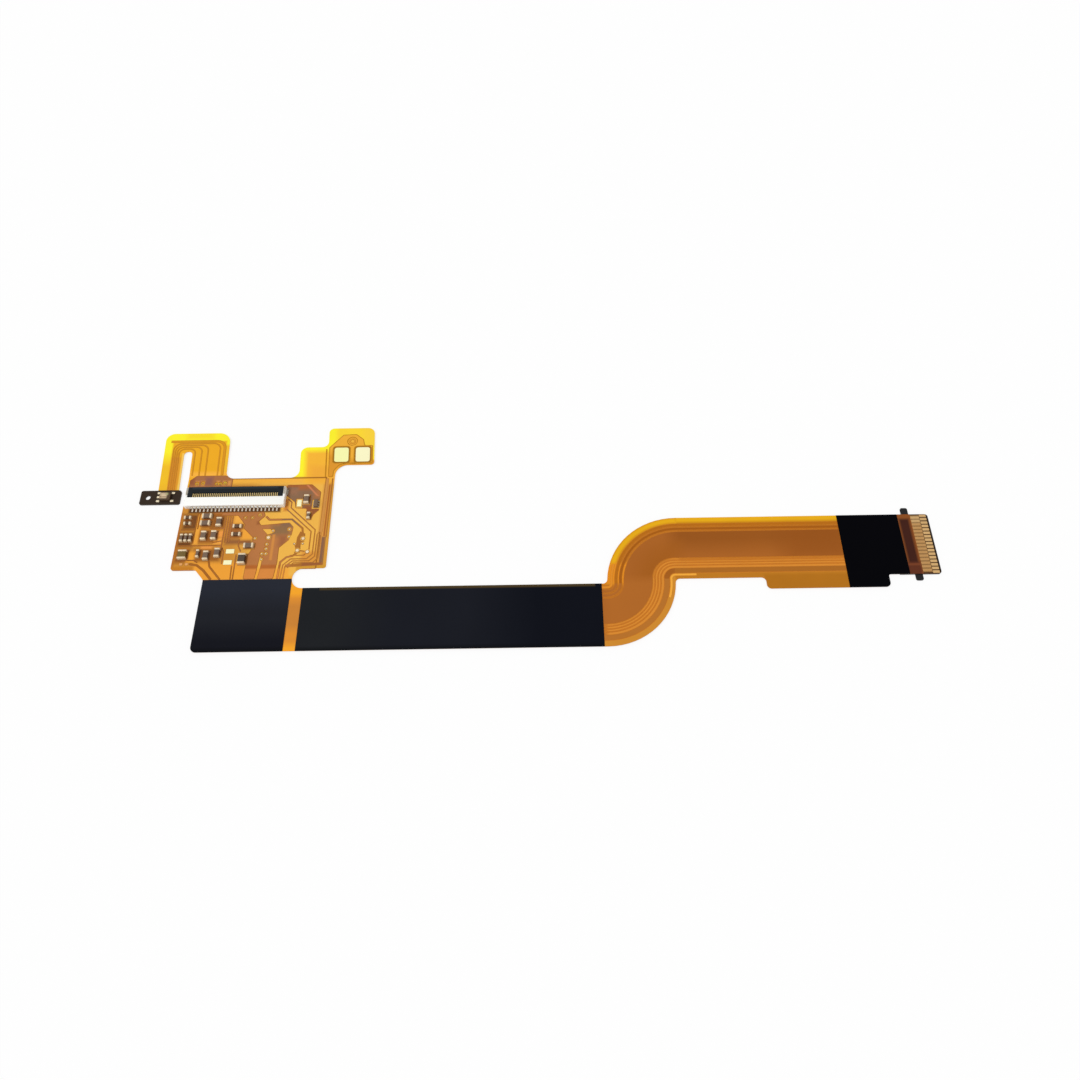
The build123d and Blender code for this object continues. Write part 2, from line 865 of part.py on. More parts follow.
wide_routes = [
    [(2.6, 1.0), (3.9, 0.75), (5.0, -0.1), (6.4, -1.7)],
    [(5.6, 1.4), (5.85, 0.5), (7.75, -1.7)],
    [(18.8, 2.6), (18.2, 2.1), (17.3, 1.9), (16.5, 1.1), (16.35, -1.7)],
    [(13.3, 9.1), (13.9, 8.5), (17.4, 8.5), (19.2, 6.9), (19.5, 5.1)],
    [from_right(1.3, 15.9), from_right(1.35, 6.2)],
    [from_right(0.9, 5.3), from_right(0.9, 0.72), from_right(6.2, 0.42)],
]
wide_widths = [0.38, 0.3, 0.34, 0.34, 0.45, 0.5]


def board_trace(route, width=trace_w):
    """Adds a trace to the open sketch."""
    with BuildLine() as path:
        Polyline(*[on_board(*point) for point in route])
    trace(path.edges(), line_width=width)


def clearing(width, height):
    """Takes the opening round a pad out of the open sketch."""
    Rectangle(width + 2 * keepout, height + 2 * keepout, mode=Mode.SUBTRACT)


with BuildPart() as board_copper:
    with BuildSketch(Plane.XY.offset(top_z)) as board_layer:
        rounded([on_board(*point) for point in middle_plane], plane_r)
        polygon([on_board(*point) for point in plane_light], mode=Mode.SUBTRACT)
        polygon([on_board(*point) for point in plane_slot], mode=Mode.SUBTRACT)
        polygon([on_board(*point) for point in relay_patch])
        rounded([on_board(*point) for point in corner_plane], plane_r)
        rounded([on_board(*point) for point in rear_patch], plane_r)
        for route in board_traces:
            board_trace(route)
        for route, width in zip(wide_routes, wide_widths):
            board_trace(route, width)
        for name, (length, width, height), place, turned in chips:
            across, along = (width, length) if turned else (length, width)
            with Locations(on_board(*place)):
                clearing(across, along)
        with Locations(driver_place):
            clearing(driver_w + 2 * driver_lead, driver_l)
        with Locations(*spare_pads_at):
            clearing(*spare_pad_size)
        with Locations(*small_pads_at):
            clearing(*small_pad_size)
        with Locations(tall_pad_at):
            clearing(*tall_pad_size)
        with Locations(*[on_board(*place) for place in small_vias]):
            RegularPolygon(via_r + via_gap, via_sides, mode=Mode.SUBTRACT)
        with Locations(*[on_board(*place) for place in ring_vias]):
            RegularPolygon(via_r + ring_w + via_gap, via_sides, mode=Mode.SUBTRACT)
        add(film_shape.sketch, mode=Mode.INTERSECT)
    extrude(amount=copper_t)
save("board_copper", board_copper)

# Board connector: a front-slot housing with a flip lock behind it. Its own frame has X along the
# row of contacts, Y back from the slot's face and Z up from the board.
conn_origin = (board_left + conn_in + conn_w / 2, board_bottom + conn_up, seat_z)
conn_plane = Plane(origin=conn_origin)
blade_plane = Plane(origin=conn_origin, x_dir=(0, 1, 0), z_dir=(1, 0, 0))
slot_w = (conn_contacts - 1) * contact_pitch + conn_slot_extra
beam_z = conn_floor_t + conn_slot_h + beam_rise
beam_top = beam_z + beam_h
pivot_y = conn_front_depth + actuator_gap + actuator_r
pivot_z = conn_h - actuator_r
actuator_w = conn_w - 2 * (conn_wall_t + actuator_gap)
from_front = (Align.CENTER, Align.MIN, Align.MIN)

with BuildPart(conn_plane) as connector_housing:
    Box(conn_w, conn_depth, conn_floor_t, align=from_front)
    Box(conn_w, conn_front_depth, conn_h, align=from_front)
    with GridLocations(conn_w - conn_wall_t, 1, 2, 1):
        Box(conn_wall_t, conn_depth, conn_wall_h, align=from_front)
    with Locations((0, 0, conn_floor_t)):
        Box(slot_w, conn_front_depth, conn_slot_h, align=from_front, mode=Mode.SUBTRACT)
    with Locations((0, beam_start - beam_rise, conn_floor_t + conn_slot_h)):
        with GridLocations(contact_pitch, 1, conn_contacts, 1):
            Box(
                blade_slot_w,
                conn_front_depth - beam_start + beam_rise,
                beam_rise + beam_h + beam_rise,
                align=from_front,
                mode=Mode.SUBTRACT,
            )
    with Locations((0, pivot_y, pivot_z)):
        Cylinder(
            pivot_pin_r + pivot_clearance,
            actuator_w + 2 * (pivot_pin_len + pivot_clearance),
            rotation=(0, 90, 0),
            mode=Mode.SUBTRACT,
        )
save("connector_housing", connector_housing)


# Contact blades: each has a solder foot, a lower beam on the floor and an upper beam to the comb
def upper_beam():
    """The stem and the upper beam, which end in the comb in front of the lock."""
    return [
        (riser_start + riser_len, beam_z),
        (beam_tip, beam_z),
        (beam_tip, beam_top + tip_rise),
        (conn_front_depth + actuator_gap, beam_top + tip_rise),
        (conn_front_depth + actuator_gap, beam_top),
        (beam_start, beam_top),
        (beam_start, beam_z),
        (riser_start, beam_z),
    ]


beam_floor = conn_floor_t + blade_h
front_blade = [
    (-tail_foot, 0),
    (-foot_gap, 0),
    (-foot_gap, conn_floor_t),
    (riser_start + riser_len, conn_floor_t),
    *upper_beam(),
    (riser_start, beam_floor),
    (-foot_gap - foot_t, beam_floor),
    (-foot_gap - foot_t, foot_t),
    (-tail_foot, foot_t),
]
rear_blade = [
    (beam_start, conn_floor_t),
    (conn_depth + foot_gap, conn_floor_t),
    (conn_depth + foot_gap, 0),
    (conn_depth + rear_foot, 0),
    (conn_depth + rear_foot, foot_t),
    (conn_depth + foot_gap + foot_t, foot_t),
    (conn_depth + foot_gap + foot_t, beam_floor),
    (riser_start + riser_len, beam_floor),
    *upper_beam(),
    (riser_start, beam_floor),
    (beam_start, beam_floor),
]
front_feet = (conn_contacts + 1) // 2
first_blade = -(conn_contacts - 1) / 2 * contact_pitch
blade_planes = [blade_plane.offset(first_blade + i * contact_pitch) for i in range(conn_contacts)]
with BuildPart() as connector_contacts:
    with BuildSketch(*blade_planes[0::2]):
        polygon(front_blade)
    with BuildSketch(*blade_planes[1::2]):
        polygon(rear_blade)
    extrude(amount=blade_t / 2, both=True)
    with BuildSketch(conn_plane):
        with Locations((0, -(tail_foot + foot_gap) / 2)):
            with GridLocations(2 * contact_pitch, 1, front_feet, 1):
                Rectangle(foot_w, tail_foot - foot_gap)
    extrude(amount=foot_t)
save("connector_contacts", connector_contacts)

with BuildPart(conn_plane) as connector_actuator:
    with BuildSketch(blade_plane):
        with Locations((pivot_y, pivot_z)):
            RegularPolygon(
                actuator_r, actuator_sides, major_radius=False, rotation=180 / actuator_sides
            )
        block(pivot_y, actuator_end, conn_h - actuator_t, conn_h)
    extrude(amount=actuator_w / 2, both=True)
    with Locations((0, pivot_y - actuator_r, 0)):
        with GridLocations(contact_pitch, 1, conn_contacts, 1):
            Box(
                blade_slot_w,
                actuator_r + actuator_slot,
                conn_h,
                align=from_front,
                mode=Mode.SUBTRACT,
            )
    with Locations((0, pivot_y, pivot_z)):
        with GridLocations(actuator_w + pivot_pin_len, 1, 2, 1):
            Cylinder(pivot_pin_r, pivot_pin_len, rotation=(0, 90, 0))
save("connector_actuator", connector_actuator)

for name, side in (("connector_nail_left", -1), ("connector_nail_right", 1)):
    with BuildPart(conn_plane) as nail:
        nail_y = conn_depth - nail_end - nail_len / 2
        with Locations((side * (conn_w + nail_t) / 2, nail_y, 0)):
            Box(nail_t, nail_len, nail_h, align=on_seat)
        with Locations((side * (conn_w + nail_foot) / 2, nail_y, 0)):
            Box(nail_foot, nail_len, nail_t, align=on_seat)
    save(name, nail)

# Light sensor on its tab
sensor_place = (sensor_tab_left + sensor_in, locating_hole[1], top_z)
with BuildPart(Plane(origin=sensor_place)) as sensor_body:
    Box(sensor_w, sensor_l, sensor_h, align=on_seat)
save("sensor_body", sensor_body)

with BuildPart(Plane(origin=sensor_place)) as sensor_terminals:
    terminal_x = (sensor_w + terminal_w) / 2 + terminal_gap
    with Locations((-terminal_x, 0, 0)):
        with GridLocations(1, terminal_pitch, 1, 3):
            Box(terminal_w, terminal_l, terminal_h, align=on_seat)
    with Locations((terminal_x, 0, 0)):
        with GridLocations(1, 2 * terminal_pitch, 1, 2):
            Box(terminal_w, terminal_l, terminal_h, align=on_seat)
save("sensor_terminals", sensor_terminals)
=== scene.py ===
"""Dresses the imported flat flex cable: film colours, covered copper, chips, connector and stage."""

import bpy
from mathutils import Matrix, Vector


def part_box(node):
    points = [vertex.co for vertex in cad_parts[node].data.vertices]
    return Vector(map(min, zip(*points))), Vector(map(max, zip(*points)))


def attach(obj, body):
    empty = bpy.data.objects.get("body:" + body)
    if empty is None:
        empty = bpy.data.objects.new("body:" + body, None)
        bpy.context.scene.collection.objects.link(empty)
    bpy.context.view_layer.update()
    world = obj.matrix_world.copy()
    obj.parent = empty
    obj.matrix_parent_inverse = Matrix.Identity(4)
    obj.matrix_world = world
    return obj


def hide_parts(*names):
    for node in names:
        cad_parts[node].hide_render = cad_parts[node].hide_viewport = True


bl_info = {
    "name": "Flat flex cable",
    "version": (1, 0, 0),
    "blender": (4, 5, 0),
    "location": "3D View > Sidebar > Flex cable",
    "description": "Builds the detailed pieces and finishes of a flat flex cable round its model",
    "category": "Object",
}

from contextlib import contextmanager
from functools import partial
from math import radians, tan

import bmesh
import bpy
from bpy.props import FloatProperty, FloatVectorProperty, PointerProperty
from mathutils import Matrix, Vector

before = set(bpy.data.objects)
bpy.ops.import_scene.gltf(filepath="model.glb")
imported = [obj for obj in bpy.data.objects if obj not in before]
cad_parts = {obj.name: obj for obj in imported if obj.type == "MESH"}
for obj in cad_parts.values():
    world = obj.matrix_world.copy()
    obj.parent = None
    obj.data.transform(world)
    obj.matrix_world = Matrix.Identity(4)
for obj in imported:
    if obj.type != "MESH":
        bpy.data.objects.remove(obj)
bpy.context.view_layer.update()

MM = 0.001
CABLE = "cable"
LOCK = "lock_bar"
# Corners this near are one, heights this near are one level, and a face this level lies flat
MERGE = 0.0005 * MM
SAME_LEVEL = 0.005 * MM
FLAT = 0.9


def span(node):
    """The low and the high corner of a model node, in millimetres."""
    return tuple(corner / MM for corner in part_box(node))


# Levels and edges in millimetres: read from the model, or its own lengths from such an edge
film_low, film_high = span("flex_film")
board_low, board_high = span("board_stiffener")
sensor_low, sensor_high = span("sensor_stiffener")
long_low, long_high = span("shield_long")
right_low, right_high = span("shield_right")
left_low, left_high = span("shield_left")
bend_low, bend_high = span("bend_copper")
cover_low, cover_high = span("tail_coverlay")
lean = tan(radians(3.4))
board_left, board_bottom, board_top = board_low.x, board_low.y, board_high.y
board_right = board_left + 23.5
tab_edge = board_right - 1.4
arm_top = bend_high.y + 1.05
strip_top = long_high.y
upper_bend = (bend_low.x + 11.9, strip_top)
upper_bend_r = arm_top - strip_top
arm_bottom = arm_top - 10.4
lower_bend_r = arm_bottom - long_low.y
lower_bend = (bend_low.x + 0.5, arm_bottom)
bend_right = upper_bend[0] - 0.8
ANYWHERE = (-200, 200)
CHIP_SLOTS = {
    "capacitor": "ceramic",
    "resistor": "black_chip",
    "coil": "grey_chip",
    "diode": "black_chip",
}
VERTICES = (True, False, False)
FACES = (False, False, True)


def srgb(red, green, blue):
    """A colour as it looks on a screen, 0 to 255, in Blender's linear values."""
    values = []
    for value in (red, green, blue):
        share = value / 255
        values.append(share / 12.92 if share <= 0.04045 else ((share + 0.055) / 1.055) ** 2.4)
    return (*values, 1.0)


def colour_property(name, description, colour):
    """A colour that a user may change."""
    return FloatVectorProperty(
        name=name.replace("_", " ").capitalize(),
        description=description,
        subtype="COLOR",
        size=4,
        min=0,
        max=1,
        default=srgb(*colour),
    )


def length_property(name, description, millimetres):
    """A length that a user may change."""
    return FloatProperty(
        name=name,
        description=description,
        subtype="DISTANCE",
        unit="LENGTH",
        min=0,
        precision=5,
        default=millimetres * MM,
    )


# Each colour's description, and its value as on a screen
COLOURS = {
    "board": ("Film over the right half of the board", (238, 180, 76)),
    "board_left": ("Film over the left half of the board", (192, 122, 40)),
    "loop": ("Bare film at the loop and the tab", (252, 240, 44)),
    "loop_inner": ("Film between the loop's traces", (238, 170, 32)),
    "leg": ("Film beside the traces of the leg", (240, 186, 38)),
    "arm": ("Film between the traces of the arm", (186, 110, 30)),
    "arm_low": ("Film between the lower traces", (214, 136, 46)),
    "arm_edge": ("Bare film along the arm", (230, 171, 18)),
    "lower_edge": ("Film along the lower bend", (205, 136, 44)),
    "flag": ("Film of the arm's flag", (176, 110, 22)),
    "underside": ("Film of the strip and the arm, seen from below", (186, 118, 44)),
    "line": ("Film over the stiffener's edge", (150, 92, 28)),
    "tail": ("Film between the contacts", (78, 50, 26)),
    "sensor_tab": ("Dark cover of the sensor tab", (50, 38, 28)),
    "bend_copper": ("Covered copper of the bends", (167, 96, 33)),
    "band_copper": ("Covered copper of the outer bands", (180, 105, 16)),
    "fine_copper": ("Covered fine traces", (200, 119, 34)),
    "board_copper": ("Covered copper of the board", (172, 108, 40)),
    "plane_copper": ("Covered copper planes of the board", (182, 117, 66)),
    "grey_copper": ("Greyer copper of the board", (136, 102, 76)),
    "loop_copper": ("Covered copper of the loop", (216, 146, 30)),
    "tab_copper": ("Covered copper of the tab", (238, 172, 54)),
    "guard": ("Covered tear guards", (240, 168, 56)),
    "shield": ("Black shielding film", (15, 16, 24)),
    "shield_dark": ("Shielding film at the tail", (2, 2, 5)),
    "rim": ("Shaded film round the pads", (156, 106, 24)),
    "gold": ("Gold plating of the left pad", (246, 246, 172)),
    "pale_gold": ("Gold plating of the other pads", (250, 246, 198)),
    "finger": ("Gold of the tail's contacts", (184, 138, 80)),
    "housing": ("Connector housing", (252, 252, 248)),
    "actuator": ("Connector lock bar", (16, 22, 26)),
    "blade": ("Plating of the blades", (224, 196, 132)),
    "tin": ("Solder and chip ends", (226, 206, 172)),
}


class FlexColours(bpy.types.PropertyGroup):
    """Colours of the cable's finishes"""

    __annotations__ = {name: colour_property(name, *entry) for name, entry in COLOURS.items()}


class FlexSizes(bpy.types.PropertyGroup):
    """Sizes of the modelled details"""

    shoulder: length_property("Shoulder", "Width of the coverlay's slope at copper", 0.075)
    shoulder_drop: length_property("Shoulder drop", "Drop of that slope", 0.018)
    housing_round: length_property("Housing edge", "Rounding of the housing's edges", 0.035)
    actuator_round: length_property("Lock bar edge", "Rounding of the lock bar's edges", 0.05)
    chip_round: length_property("Chip edge", "Rounding of a chip's body", 0.03)
    end_round: length_property("Chip end edge", "Rounding of a chip's metal ends", 0.06)
    end_length: length_property("Chip end", "Length of a chip's metal end", 0.3)
    solder: length_property("Solder", "Reach of the solder beside a chip", 0.2)


def linear(colour):
    """Linear values of a colour: the name of a setting, or three values as on a screen."""
    if isinstance(colour, str):
        return tuple(getattr(bpy.context.scene.flex_colours, colour))
    return srgb(*colour)


def sizes():
    """The scene's size settings."""
    return bpy.context.scene.flex_sizes


# Node groups: effects that several materials share
def new_group(name, inputs, outputs):
    """An empty shader node group with its sockets, and its input and output nodes."""
    group = bpy.data.node_groups.new(name, "ShaderNodeTree")
    for label, kind, value in inputs:
        socket = group.interface.new_socket(name=label, in_out="INPUT", socket_type=kind)
        if value is not None:
            socket.default_value = value
    for label, kind in outputs:
        group.interface.new_socket(name=label, in_out="OUTPUT", socket_type=kind)
    entry = group.nodes.new("NodeGroupInput")
    leave = group.nodes.new("NodeGroupOutput")
    return group, entry, leave


def math_node(tree, operation, first, second=None, clamp=False):
    """A math node with linked or plain inputs."""
    node = tree.nodes.new("ShaderNodeMath")
    node.operation = operation
    node.use_clamp = clamp
    for socket, value in zip(node.inputs, (first, second)):
        if value is None:
            continue
        if isinstance(value, (int, float)):
            socket.default_value = value
        else:
            tree.links.new(value, socket)
    return node.outputs[0]


def end_mask(group, entry, leave, gaps):
    """Ends a group: white where all gaps are below zero, with a soft edge."""
    outside = gaps[0]
    for gap in gaps[1:]:
        outside = math_node(group, "MAXIMUM", outside, gap)
    share = math_node(group, "DIVIDE", outside, entry.outputs["Softness"])
    mask = math_node(group, "SUBTRACT", 0.5, share, clamp=True)
    group.links.new(mask, leave.inputs["Mask"])


FLOAT = "NodeSocketFloat"
VECTOR = "NodeSocketVector"
COLOUR = "NodeSocketColor"


def build_zone_group():
    """A mask of a leaning rectangle with soft edges. Lengths are in millimetres."""
    group, entry, leave = new_group(
        "Zone",
        [
            ("Vector", VECTOR, None),
            ("Left", FLOAT, 0.0),
            ("Right", FLOAT, 1.0),
            ("Bottom", FLOAT, 0.0),
            ("Top", FLOAT, 1.0),
            ("Above", FLOAT, -1.0),
            ("Below", FLOAT, 10.0),
            ("Lean", FLOAT, 0.0),
            ("Lean From", FLOAT, 0.0),
            ("Softness", FLOAT, 0.1),
        ],
        [("Mask", FLOAT)],
    )
    calc = partial(math_node, group)
    split = group.nodes.new("ShaderNodeSeparateXYZ")
    group.links.new(entry.outputs["Vector"], split.inputs[0])
    x = calc("DIVIDE", split.outputs["X"], MM)
    y = calc("DIVIDE", split.outputs["Y"], MM)
    z = calc("DIVIDE", split.outputs["Z"], MM)
    rise = calc("SUBTRACT", y, entry.outputs["Lean From"])
    x = calc("ADD", x, calc("MULTIPLY", rise, entry.outputs["Lean"]))
    gaps = [
        calc("SUBTRACT", entry.outputs["Left"], x),
        calc("SUBTRACT", x, entry.outputs["Right"]),
        calc("SUBTRACT", entry.outputs["Bottom"], y),
        calc("SUBTRACT", y, entry.outputs["Top"]),
        calc("SUBTRACT", entry.outputs["Above"], z),
        calc("SUBTRACT", z, entry.outputs["Below"]),
    ]
    end_mask(group, entry, leave, gaps)


def build_ring_group():
    """A mask between two radii round a centre, on one side of it. Lengths are in millimetres."""
    group, entry, leave = new_group(
        "Ring",
        [
            ("Vector", VECTOR, None),
            ("Centre", VECTOR, (0, 0, 0)),
            ("Inner", FLOAT, 0.0),
            ("Outer", FLOAT, 1.0),
            ("Side X", FLOAT, 1.0),
            ("Side Y", FLOAT, 1.0),
            ("Softness", FLOAT, 0.1),
        ],
        [("Mask", FLOAT)],
    )
    calc = partial(math_node, group)
    scaled = group.nodes.new("ShaderNodeVectorMath")
    scaled.operation = "SCALE"
    scaled.inputs["Scale"].default_value = 1 / MM
    group.links.new(entry.outputs["Vector"], scaled.inputs[0])
    away = group.nodes.new("ShaderNodeVectorMath")
    away.operation = "SUBTRACT"
    group.links.new(scaled.outputs[0], away.inputs[0])
    group.links.new(entry.outputs["Centre"], away.inputs[1])
    split = group.nodes.new("ShaderNodeSeparateXYZ")
    group.links.new(away.outputs[0], split.inputs[0])
    x, y = split.outputs["X"], split.outputs["Y"]
    square = calc("ADD", calc("MULTIPLY", x, x), calc("MULTIPLY", y, y))
    radius = calc("SQRT", square)
    gaps = [
        calc("SUBTRACT", entry.outputs["Inner"], radius),
        calc("SUBTRACT", radius, entry.outputs["Outer"]),
        calc("MULTIPLY", x, calc("MULTIPLY", entry.outputs["Side X"], -1)),
        calc("MULTIPLY", y, calc("MULTIPLY", entry.outputs["Side Y"], -1)),
    ]
    end_mask(group, entry, leave, gaps)


def build_mottle_group():
    """Slow and fine changes of tone, with a height for a bump."""
    group, entry, leave = new_group(
        "Mottle",
        [
            ("Vector", VECTOR, None),
            ("Colour", COLOUR, (1, 1, 1, 1)),
            ("Amount", FLOAT, 0.1),
            ("Scale", FLOAT, 300.0),
            ("Fine Scale", FLOAT, 5000.0),
            ("Fine Amount", FLOAT, 0.05),
        ],
        [("Colour", COLOUR), ("Height", FLOAT)],
    )
    calc = partial(math_node, group)
    slow = group.nodes.new("ShaderNodeTexNoise")
    slow.inputs["Detail"].default_value = 3
    group.links.new(entry.outputs["Vector"], slow.inputs["Vector"])
    group.links.new(entry.outputs["Scale"], slow.inputs["Scale"])
    fine = group.nodes.new("ShaderNodeTexNoise")
    fine.inputs["Detail"].default_value = 2
    group.links.new(entry.outputs["Vector"], fine.inputs["Vector"])
    group.links.new(entry.outputs["Fine Scale"], fine.inputs["Scale"])
    slow_tone = calc("SUBTRACT", slow.outputs["Fac"], 0.5)
    fine_tone = calc("SUBTRACT", fine.outputs["Fac"], 0.5)
    tone = calc(
        "ADD",
        calc("MULTIPLY", slow_tone, entry.outputs["Amount"]),
        calc("MULTIPLY", fine_tone, entry.outputs["Fine Amount"]),
    )
    gain = calc("ADD", calc("MULTIPLY", tone, 2.0), 1.0)
    scaled = group.nodes.new("ShaderNodeVectorMath")
    scaled.operation = "SCALE"
    group.links.new(entry.outputs["Colour"], scaled.inputs[0])
    group.links.new(gain, scaled.inputs["Scale"])
    group.links.new(scaled.outputs[0], leave.inputs["Colour"])
    group.links.new(fine.outputs["Fac"], leave.inputs["Height"])


class Painter:
    """Builds one material: a base colour, zones painted over it, mottle and a bump."""

    def __init__(self, name, base, roughness=0.4, metallic=0.0, shine=0.1):
        self.material = bpy.data.materials.new(name)
        self.material.use_nodes = True
        self.tree = self.material.node_tree
        self.shader = self.tree.nodes["Principled BSDF"]
        self.shader.inputs["Roughness"].default_value = roughness
        self.shader.inputs["Metallic"].default_value = metallic
        self.shader.inputs["Specular IOR Level"].default_value = shine
        self.place = self.tree.nodes.new("ShaderNodeTexCoord").outputs["Object"]
        self.colour = linear(base)

    def group(self, name, **values):
        """Places a shared node group and sets its inputs."""
        node = self.tree.nodes.new("ShaderNodeGroup")
        node.node_tree = bpy.data.node_groups[name]
        self.tree.links.new(self.place, node.inputs["Vector"])
        for label, value in values.items():
            node.inputs[label.replace("_", " ")].default_value = value
        return node

    def over(self, mask, colour):
        """Paints a colour where a mask is white."""
        mix = self.tree.nodes.new("ShaderNodeMix")
        mix.data_type = "RGBA"
        self.tree.links.new(mask, mix.inputs["Factor"])
        if isinstance(self.colour, tuple):
            mix.inputs["A"].default_value = self.colour
        else:
            self.tree.links.new(self.colour, mix.inputs["A"])
        mix.inputs["B"].default_value = linear(colour)
        self.colour = mix.outputs["Result"]
        return self

    def zone(self, colour, left, right, bottom, top, soft=0.1, leaning=False, above=-1.0, below=10.0):
        """Paints a rectangle between two levels. It leans as the loop and the tab do, if asked."""
        node = self.group(
            "Zone",
            Left=left,
            Right=right,
            Bottom=bottom,
            Top=top,
            Above=above,
            Below=below,
            Lean=lean if leaning else 0.0,
            Lean_From=board_top,
            Softness=soft,
        )
        return self.over(node.outputs["Mask"], colour)

    def stripe(self, colour, start, end, width, soft=0.1):
        """Paints a slanting stripe between two points, one above the other."""
        (x0, y0), (x1, y1) = start, end
        slant = (x0 - x1) / (y1 - y0)
        half = width / 2 * (1 + slant * slant) ** 0.5
        node = self.group(
            "Zone",
            Left=x0 - half,
            Right=x0 + half,
            Bottom=min(y0, y1),
            Top=max(y0, y1),
            Lean=slant,
            Lean_From=y0,
            Softness=soft,
        )
        return self.over(node.outputs["Mask"], colour)

    def zones(self, rows, leaning=False):
        """Paints several rectangles, each given as colour, left, right, bottom, top, softness."""
        for colour, left, right, bottom, top, soft in rows:
            self.zone(colour, left, right, bottom, top, soft=soft, leaning=leaning)
        return self

    def ring(self, colour, centre, inner, outer, side, soft=0.1):
        """Paints part of a ring round a bend's centre."""
        node = self.group(
            "Ring",
            Centre=(*centre, 0),
            Inner=inner,
            Outer=outer,
            Side_X=side[0],
            Side_Y=side[1],
            Softness=soft,
        )
        return self.over(node.outputs["Mask"], colour)

    def finish(self, amount=0.1, scale=300.0, fine=0.04, bump=0.0):
        """Adds the mottle and the bump, and returns the material."""
        node = self.group("Mottle", Amount=amount, Scale=scale, Fine_Amount=fine)
        if isinstance(self.colour, tuple):
            node.inputs["Colour"].default_value = self.colour
        else:
            self.tree.links.new(self.colour, node.inputs["Colour"])
        self.tree.links.new(node.outputs["Colour"], self.shader.inputs["Base Color"])
        if bump:
            relief = self.tree.nodes.new("ShaderNodeBump")
            relief.inputs["Strength"].default_value = bump
            relief.inputs["Distance"].default_value = 0.02 * MM
            self.tree.links.new(node.outputs["Height"], relief.inputs["Height"])
            self.tree.links.new(relief.outputs["Normal"], self.shader.inputs["Normal"])
        return self.material


# Mesh helpers, all through Blender's own operators
def deselect():
    """Leaves no object selected."""
    bpy.ops.object.select_all(action="DESELECT")


def only(piece):
    """Selects one object and makes it active."""
    deselect()
    piece.select_set(True)
    bpy.context.view_layer.objects.active = piece


@contextmanager
def editing(piece, mode=FACES):
    """Edit mode on one piece, and back to object mode."""
    only(piece)
    bpy.ops.object.mode_set(mode="EDIT")
    bpy.context.tool_settings.mesh_select_mode = mode
    yield
    bpy.ops.object.mode_set(mode="OBJECT")


def pick(piece, wanted):
    """Selects the faces that pass a test, in edit mode."""
    mesh = bmesh.from_edit_mesh(piece.data)
    for face in mesh.faces:
        face.select_set(wanted(face))
    bmesh.update_edit_mesh(piece.data)


def bevel(piece, width, segments=2):
    """Rounds the sharp edges of a piece."""
    modifier = piece.modifiers.new("Bevel", "BEVEL")
    modifier.width = width
    modifier.segments = segments
    modifier.limit_method = "ANGLE"
    modifier.angle_limit = radians(30)
    modifier.use_clamp_overlap = True
    only(piece)
    bpy.ops.object.modifier_apply(modifier=modifier.name)


def smooth(piece):
    """Shades a piece smooth, apart from its sharp edges."""
    only(piece)
    bpy.ops.object.shade_smooth_by_angle(angle=radians(35))


def box(name, low, high, material):
    """A box between two corners in millimetres, with its place in its mesh."""
    deselect()
    low, high = Vector(low), Vector(high)
    bpy.ops.mesh.primitive_cube_add(size=1, location=(low + high) / 2 * MM)
    piece = bpy.context.object
    piece.name = name
    piece.scale = (high - low) * MM
    bpy.ops.object.transform_apply(location=True, rotation=True, scale=True)
    piece.data.materials.append(material)
    return piece


def join(pieces, name):
    """Joins several objects into the first one."""
    deselect()
    for piece in pieces:
        piece.select_set(True)
    bpy.context.view_layer.objects.active = pieces[0]
    bpy.ops.object.join()
    pieces[0].name = name
    return pieces[0]


def node_copy(node, name):
    """A merged copy of a model node, without its materials."""
    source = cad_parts[node]
    piece = bpy.data.objects.new(name, source.data.copy())
    bpy.context.scene.collection.objects.link(piece)
    piece.data.materials.clear()
    with editing(piece, VERTICES):
        bpy.ops.mesh.select_all(action="SELECT")
        bpy.ops.mesh.remove_doubles(threshold=MERGE)
        bpy.ops.mesh.select_all(action="DESELECT")
    return piece


def flatten(piece):
    """Joins the triangles of a piece's flat faces."""
    with editing(piece, VERTICES):
        bpy.ops.mesh.select_all(action="SELECT")
        bpy.ops.mesh.dissolve_limited(angle_limit=radians(0.5))
        bpy.ops.mesh.select_all(action="DESELECT")


def settle(piece, body, slot, *nodes):
    """Puts a finished piece on its body and hides the nodes that it stands for. Its slot is not used.
    """
    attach(piece, body)
    if nodes:
        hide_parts(*nodes)
    return piece


def paint(node, material):
    """Gives a model node another material."""
    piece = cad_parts[node]
    piece.data.materials.clear()
    piece.data.materials.append(material)


def shouldered(node, name, top, edge, width=None):
    """A copy of flat copper whose top edge slopes, as the coverlay does where it ends."""
    piece = node_copy(node, name)
    piece.data.materials.append(top)
    piece.data.materials.append(edge)
    with editing(piece):
        pick(piece, lambda face: face.normal.z > FLAT)
        thickness = width * MM if width else sizes().shoulder
        bpy.ops.mesh.inset(thickness=thickness, depth=0, use_boundary=True, use_even_offset=False)
        mesh = bmesh.from_edit_mesh(piece.data)
        for face in mesh.faces:
            face.material_index = 0 if face.select else 1
        inner = {vert for face in mesh.faces if face.select for vert in face.verts}
        level = max(vert.co.z for vert in mesh.verts) - SAME_LEVEL
        for face in mesh.faces:
            face.select_set(False)
        bpy.context.tool_settings.mesh_select_mode = VERTICES
        for vert in mesh.verts:
            vert.select_set(vert not in inner and vert.co.z > level)
        mesh.select_flush_mode()
        bmesh.update_edit_mesh(piece.data)
        bpy.ops.transform.translate(value=(0, 0, -sizes().shoulder_drop))
        bpy.context.tool_settings.mesh_select_mode = FACES
        bpy.ops.mesh.select_all(action="DESELECT")
    return piece


